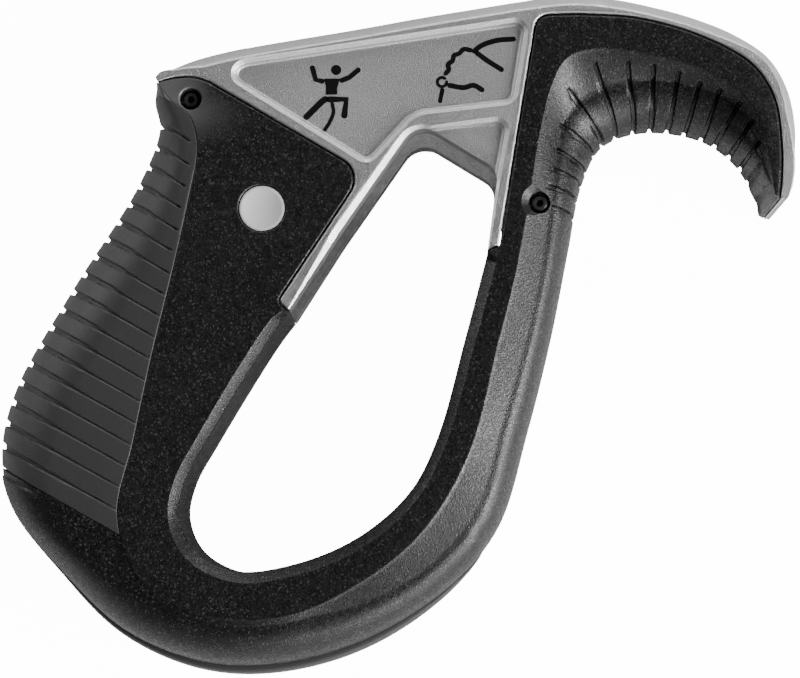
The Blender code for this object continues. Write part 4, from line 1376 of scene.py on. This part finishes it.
def rubber():
    """Dark grey rubber with a soft sheen and a very fine grain."""
    material, tree, shader = make_material("grip rubber")
    grain = place_group(tree, grain_group, grains_per_metre=RUBBER_GRAINS)
    smudge = place_group(tree, smudge_group, patches_per_metre=90.0, amount=0.16)
    wear = place_group(tree, wear_group, sharpness=0.12, amount=0.05)
    mottle = remap(tree, grain.outputs["Height"], 0.3, 1.3, 0.0, 1.0)
    body = mix_colour(tree, mottle, (0.015, 0.015, 0.016, 1), (0.03, 0.03, 0.031, 1))
    shader.inputs["Specular IOR Level"].default_value = 0.4
    colour = mix_colour(tree, wear.outputs["Mask"], body, (0.14, 0.14, 0.145, 1))
    tree.links.new(colour, shader.inputs["Base Color"])
    rough = math_node(tree, "ADD", smudge.outputs["Shift"], 0.5, clamp=True)
    tree.links.new(rough, shader.inputs["Roughness"])
    add_bump(tree, shader, grain.outputs["Height"], 0.25, 0.00003)
    shader.inputs["Sheen Weight"].default_value = 0.15
    shader.inputs["Sheen Roughness"].default_value = 0.5
    return material


print("the rubber's grains are", round(1000 / RUBBER_GRAINS, 2), "mm wide")

# %% [markdown]
# ## Steel and the badge
# The brake insert and its rivets are ground steel, so their noise is stretched into fine lines. The
# pins are blackened steel. The badge is a pale satin plastic with a trace of grain. The signs are
# flat black with a little tooth.

# %% Steel, black steel, badge and sign black
GROUND = (400.0, 9000.0, 400.0)


def steel(name, dark, light, roughness, metallic=1.0, stretch=GROUND, rubbed=0.6, shine=0.5):
    """A surface streaked between two colours. The noise is scaled by stretch along x, y and z."""
    material, tree, shader = make_material(name)
    place = add_node(tree, "ShaderNodeTexCoord").outputs["Object"]
    lines = add_node(tree, "ShaderNodeMapping", {"Vector": place, "Scale": stretch}).outputs[0]
    streak = add_node(tree, "ShaderNodeTexNoise", {"Vector": lines, "Scale": 1.0, "Detail": 3.0}).outputs[0]
    wear = place_group(tree, wear_group, sharpness=0.06, amount=rubbed)
    shader.inputs["Specular IOR Level"].default_value = shine
    body = mix_colour(tree, streak, (*dark, 1), (*light, 1))
    worn = tuple(min(1.0, value * 1.6 + 0.05) for value in light)
    colour = mix_colour(tree, wear.outputs["Mask"], body, (*worn, 1))
    tree.links.new(colour, shader.inputs["Base Color"])
    rough = remap(tree, streak, 0.3, 0.7, roughness - 0.06, roughness + 0.08)
    tree.links.new(rough, shader.inputs["Roughness"])
    add_bump(tree, shader, streak, 0.15, 0.00002)
    shader.inputs["Metallic"].default_value = metallic
    return material


def even(scale):
    """The same noise scale along x, y and z."""
    return (scale, scale, scale)


FINISHES = {
    "blasted_aluminium": aluminium(),
    "black_nylon": nylon(),
    "grip_rubber": rubber(),
    "brake_steel": steel("ground steel", (0.42, 0.42, 0.43), (0.62, 0.62, 0.63), 0.26),
    "black_pin_steel": steel(
        "blackened steel", (0.012, 0.012, 0.013), (0.03, 0.03, 0.032), 0.34, 0.6, even(2500.0)),
    "badge_grey": steel(
        "badge grey", (0.55, 0.55, 0.56), (0.66, 0.66, 0.67), 0.42, 0.0, even(3000.0), rubbed=0.0),
    "sign_black": steel(
        "sign black", (0.002, 0.002, 0.002), (0.005, 0.005, 0.005), 0.85, 0.0, even(5000.0),
        rubbed=0.0, shine=0.12),
}
print("finishes:", ", ".join(FINISHES))

# %% [markdown]
# ## The satin zone on the body
# The handle's end, round its pin, is smoother than the rest, because the mould was polished there.
# A number painted on the mesh, one for every point, tells the nylon where. It fades out over a few
# millimetres, so the two textures have no border.

# %% Paint the satin zone and hand out the finishes
SATIN_CENTRE = Vector((-33.0, 30.5))
SATIN_FULL = 4.0
SATIN_GONE = 9.5


def satin_amount(point):
    """1 where the body is smooth, 0 where it has its full grain, for a point of the drawing."""
    spot = Vector((point.x, point.y))
    return 1 - soft_step((spot - SATIN_CENTRE).length, SATIN_FULL, SATIN_GONE)


def paint_satin(obj):
    """Stores the satin amount on every point of a body half."""
    values = obj.data.attributes.new("satin", "FLOAT", "POINT")
    for vert in obj.data.vertices:
        values.data[vert.index].value = satin_amount(vert.co / MM - SHIFT)


paint_satin(near_body)
paint_satin(far_body)
FINISH_WORDS = {
    "mark": "sign_black",
    "metal": "blasted_aluminium",
    "grip_pad": "grip_rubber",
    "bumper": "grip_rubber",
    "disc": "badge_grey",
    "pin_rod": "black_pin_steel",
    "body": "black_nylon",
}
for name, piece in PIECES.items():
    word = next(word for word in FINISH_WORDS if word in name)
    piece.data.materials.clear()
    piece.data.materials.append(FINISHES[FINISH_WORDS[word]])
for node in ("brake_insert", "insert_rivet_lower", "insert_rivet_upper"):
    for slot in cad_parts[node].material_slots:
        slot.material = FINISHES["brake_steel"]
print(len(PIECES), "pieces have a finish, and three solids are kept as they are")

# %% [markdown]
# ## The table and the light
# The device lies on a pale table inside a white tent: bright walls all round, brighter on the
# right, and a darker patch above where the lens looks in. That patch is what the flat faces mirror,
# so they go dark while every edge and slope that leans towards the walls lights up. One large lamp
# on the right is stronger than the rest.
#
# The table glows for the lens only, as a sheet lit from below would. It shows as clean white and
# throws almost no light up at the device. The price is that the device's shadow is lost in it.

# %% The table
TABLE_HALF = 900.0
GLOW_ON_DEVICE = 0.05
GLOW_IN_LENS = 14.0


def table(bm):
    """A wide flat sheet under the device."""
    bmesh.ops.create_grid(bm, x_segments=2, y_segments=2, size=TABLE_HALF)


floor = mesh_object("table", table)
floor.data.transform(Matrix.Scale(MM, 4))
table_material, tree, shader = make_material("pale table")
place = add_node(tree, "ShaderNodeTexCoord").outputs["Object"]
cloud = add_node(tree, "ShaderNodeTexNoise", {"Vector": place, "Scale": 40.0, "Detail": 3.0}).outputs[0]
colour = mix_colour(tree, cloud, (0.66, 0.66, 0.66, 1), (0.7, 0.7, 0.7, 1))
tree.links.new(colour, shader.inputs["Base Color"])
shader.inputs["Roughness"].default_value = 0.9
seen = add_node(tree, "ShaderNodeLightPath").outputs["Is Camera Ray"]
glow = remap(tree, seen, 0.0, 1.0, GLOW_ON_DEVICE, GLOW_IN_LENS)
tree.links.new(glow, shader.inputs["Emission Strength"])
shader.inputs["Emission Color"].default_value = (1, 1, 1, 1)
floor.data.materials.append(table_material)
floor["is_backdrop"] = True
print("the table is", round(floor.dimensions.x, 2), "m wide")

# %% The tent and the lamps
TENT_LIGHT = 0.85
world = bpy.data.worlds.new("white tent")
world.use_nodes = True
bpy.context.scene.world = world
tree = world.node_tree
background = tree.nodes["Background"]
direction = add_node(tree, "ShaderNodeTexCoord").outputs["Generated"]
axes = add_node(tree, "ShaderNodeSeparateXYZ", {"Vector": direction})
walls = remap(tree, axes.outputs["Z"], 0.35, 0.92, 1.0, 0.08)
sides = remap(tree, axes.outputs["X"], -0.9, 0.9, 0.25, 1.25)
tent = math_node(tree, "MULTIPLY", math_node(tree, "MULTIPLY", walls, sides), TENT_LIGHT)
tree.links.new(tent, background.inputs["Strength"])
background.inputs["Color"].default_value = (1, 1, 1, 1)


def lamp(name, place, target, size, power):
    """A square soft lamp at place, in metres, aimed at target."""
    light = bpy.data.lights.new(name, "AREA")
    light.shape = "RECTANGLE"
    light.size, light.size_y = size
    light.energy = power
    obj = bpy.data.objects.new(name, light)
    obj.location = place
    obj.rotation_euler = (Vector(target) - Vector(place)).to_track_quat("-Z", "Y").to_euler()
    bpy.context.scene.collection.objects.link(obj)
    return obj


AIM = (0.0, 0.0, 0.01)
lamp("right wall", (0.58, -0.22, 0.19), AIM, (0.26, 0.7), 11.5)
lamp("left wall", (-0.54, 0.32, 0.2), AIM, (0.3, 0.5), 1.6)
lamp("back wall", (0.1, 0.62, 0.2), AIM, (0.7, 0.3), 2.0)
lamp("front right", (0.34, -0.52, 0.12), AIM, (0.4, 0.2), 2.0)

# %% [markdown]
# ## The camera
# The device is seen from almost straight above, from a little below its lower end. A long lens from
# an arm's length keeps the outline true.

# %% The camera
camera_data = bpy.data.cameras.new("camera")
camera_data.lens = 137.18
camera_data.sensor_width = 36.0
camera = bpy.data.objects.new("camera", camera_data)
camera.location = (0.00533, -0.03578, 0.421)
look_at = Vector((-0.00007, -0.00055, 0.011))
away = (camera.location - look_at).normalized()
across = Vector((0, 1, 0)).cross(away).normalized()
camera.rotation_euler = Matrix((across, away.cross(across), away)).transposed().to_euler()
bpy.context.scene.collection.objects.link(camera)
bpy.context.scene.camera = camera
print("camera", [round(v, 3) for v in camera.location])

# %% [markdown]
# ## Sizes and finish
# The finer model must fill the same box as the solids, so both boxes are printed side by side.

# %% Write the sizes and finish
seen_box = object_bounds()
for name, box in (("solids", solid_box), ("visual", seen_box)):
    print(name, [round((b - a) / MM, 2) for a, b in zip(*box)], "mm")
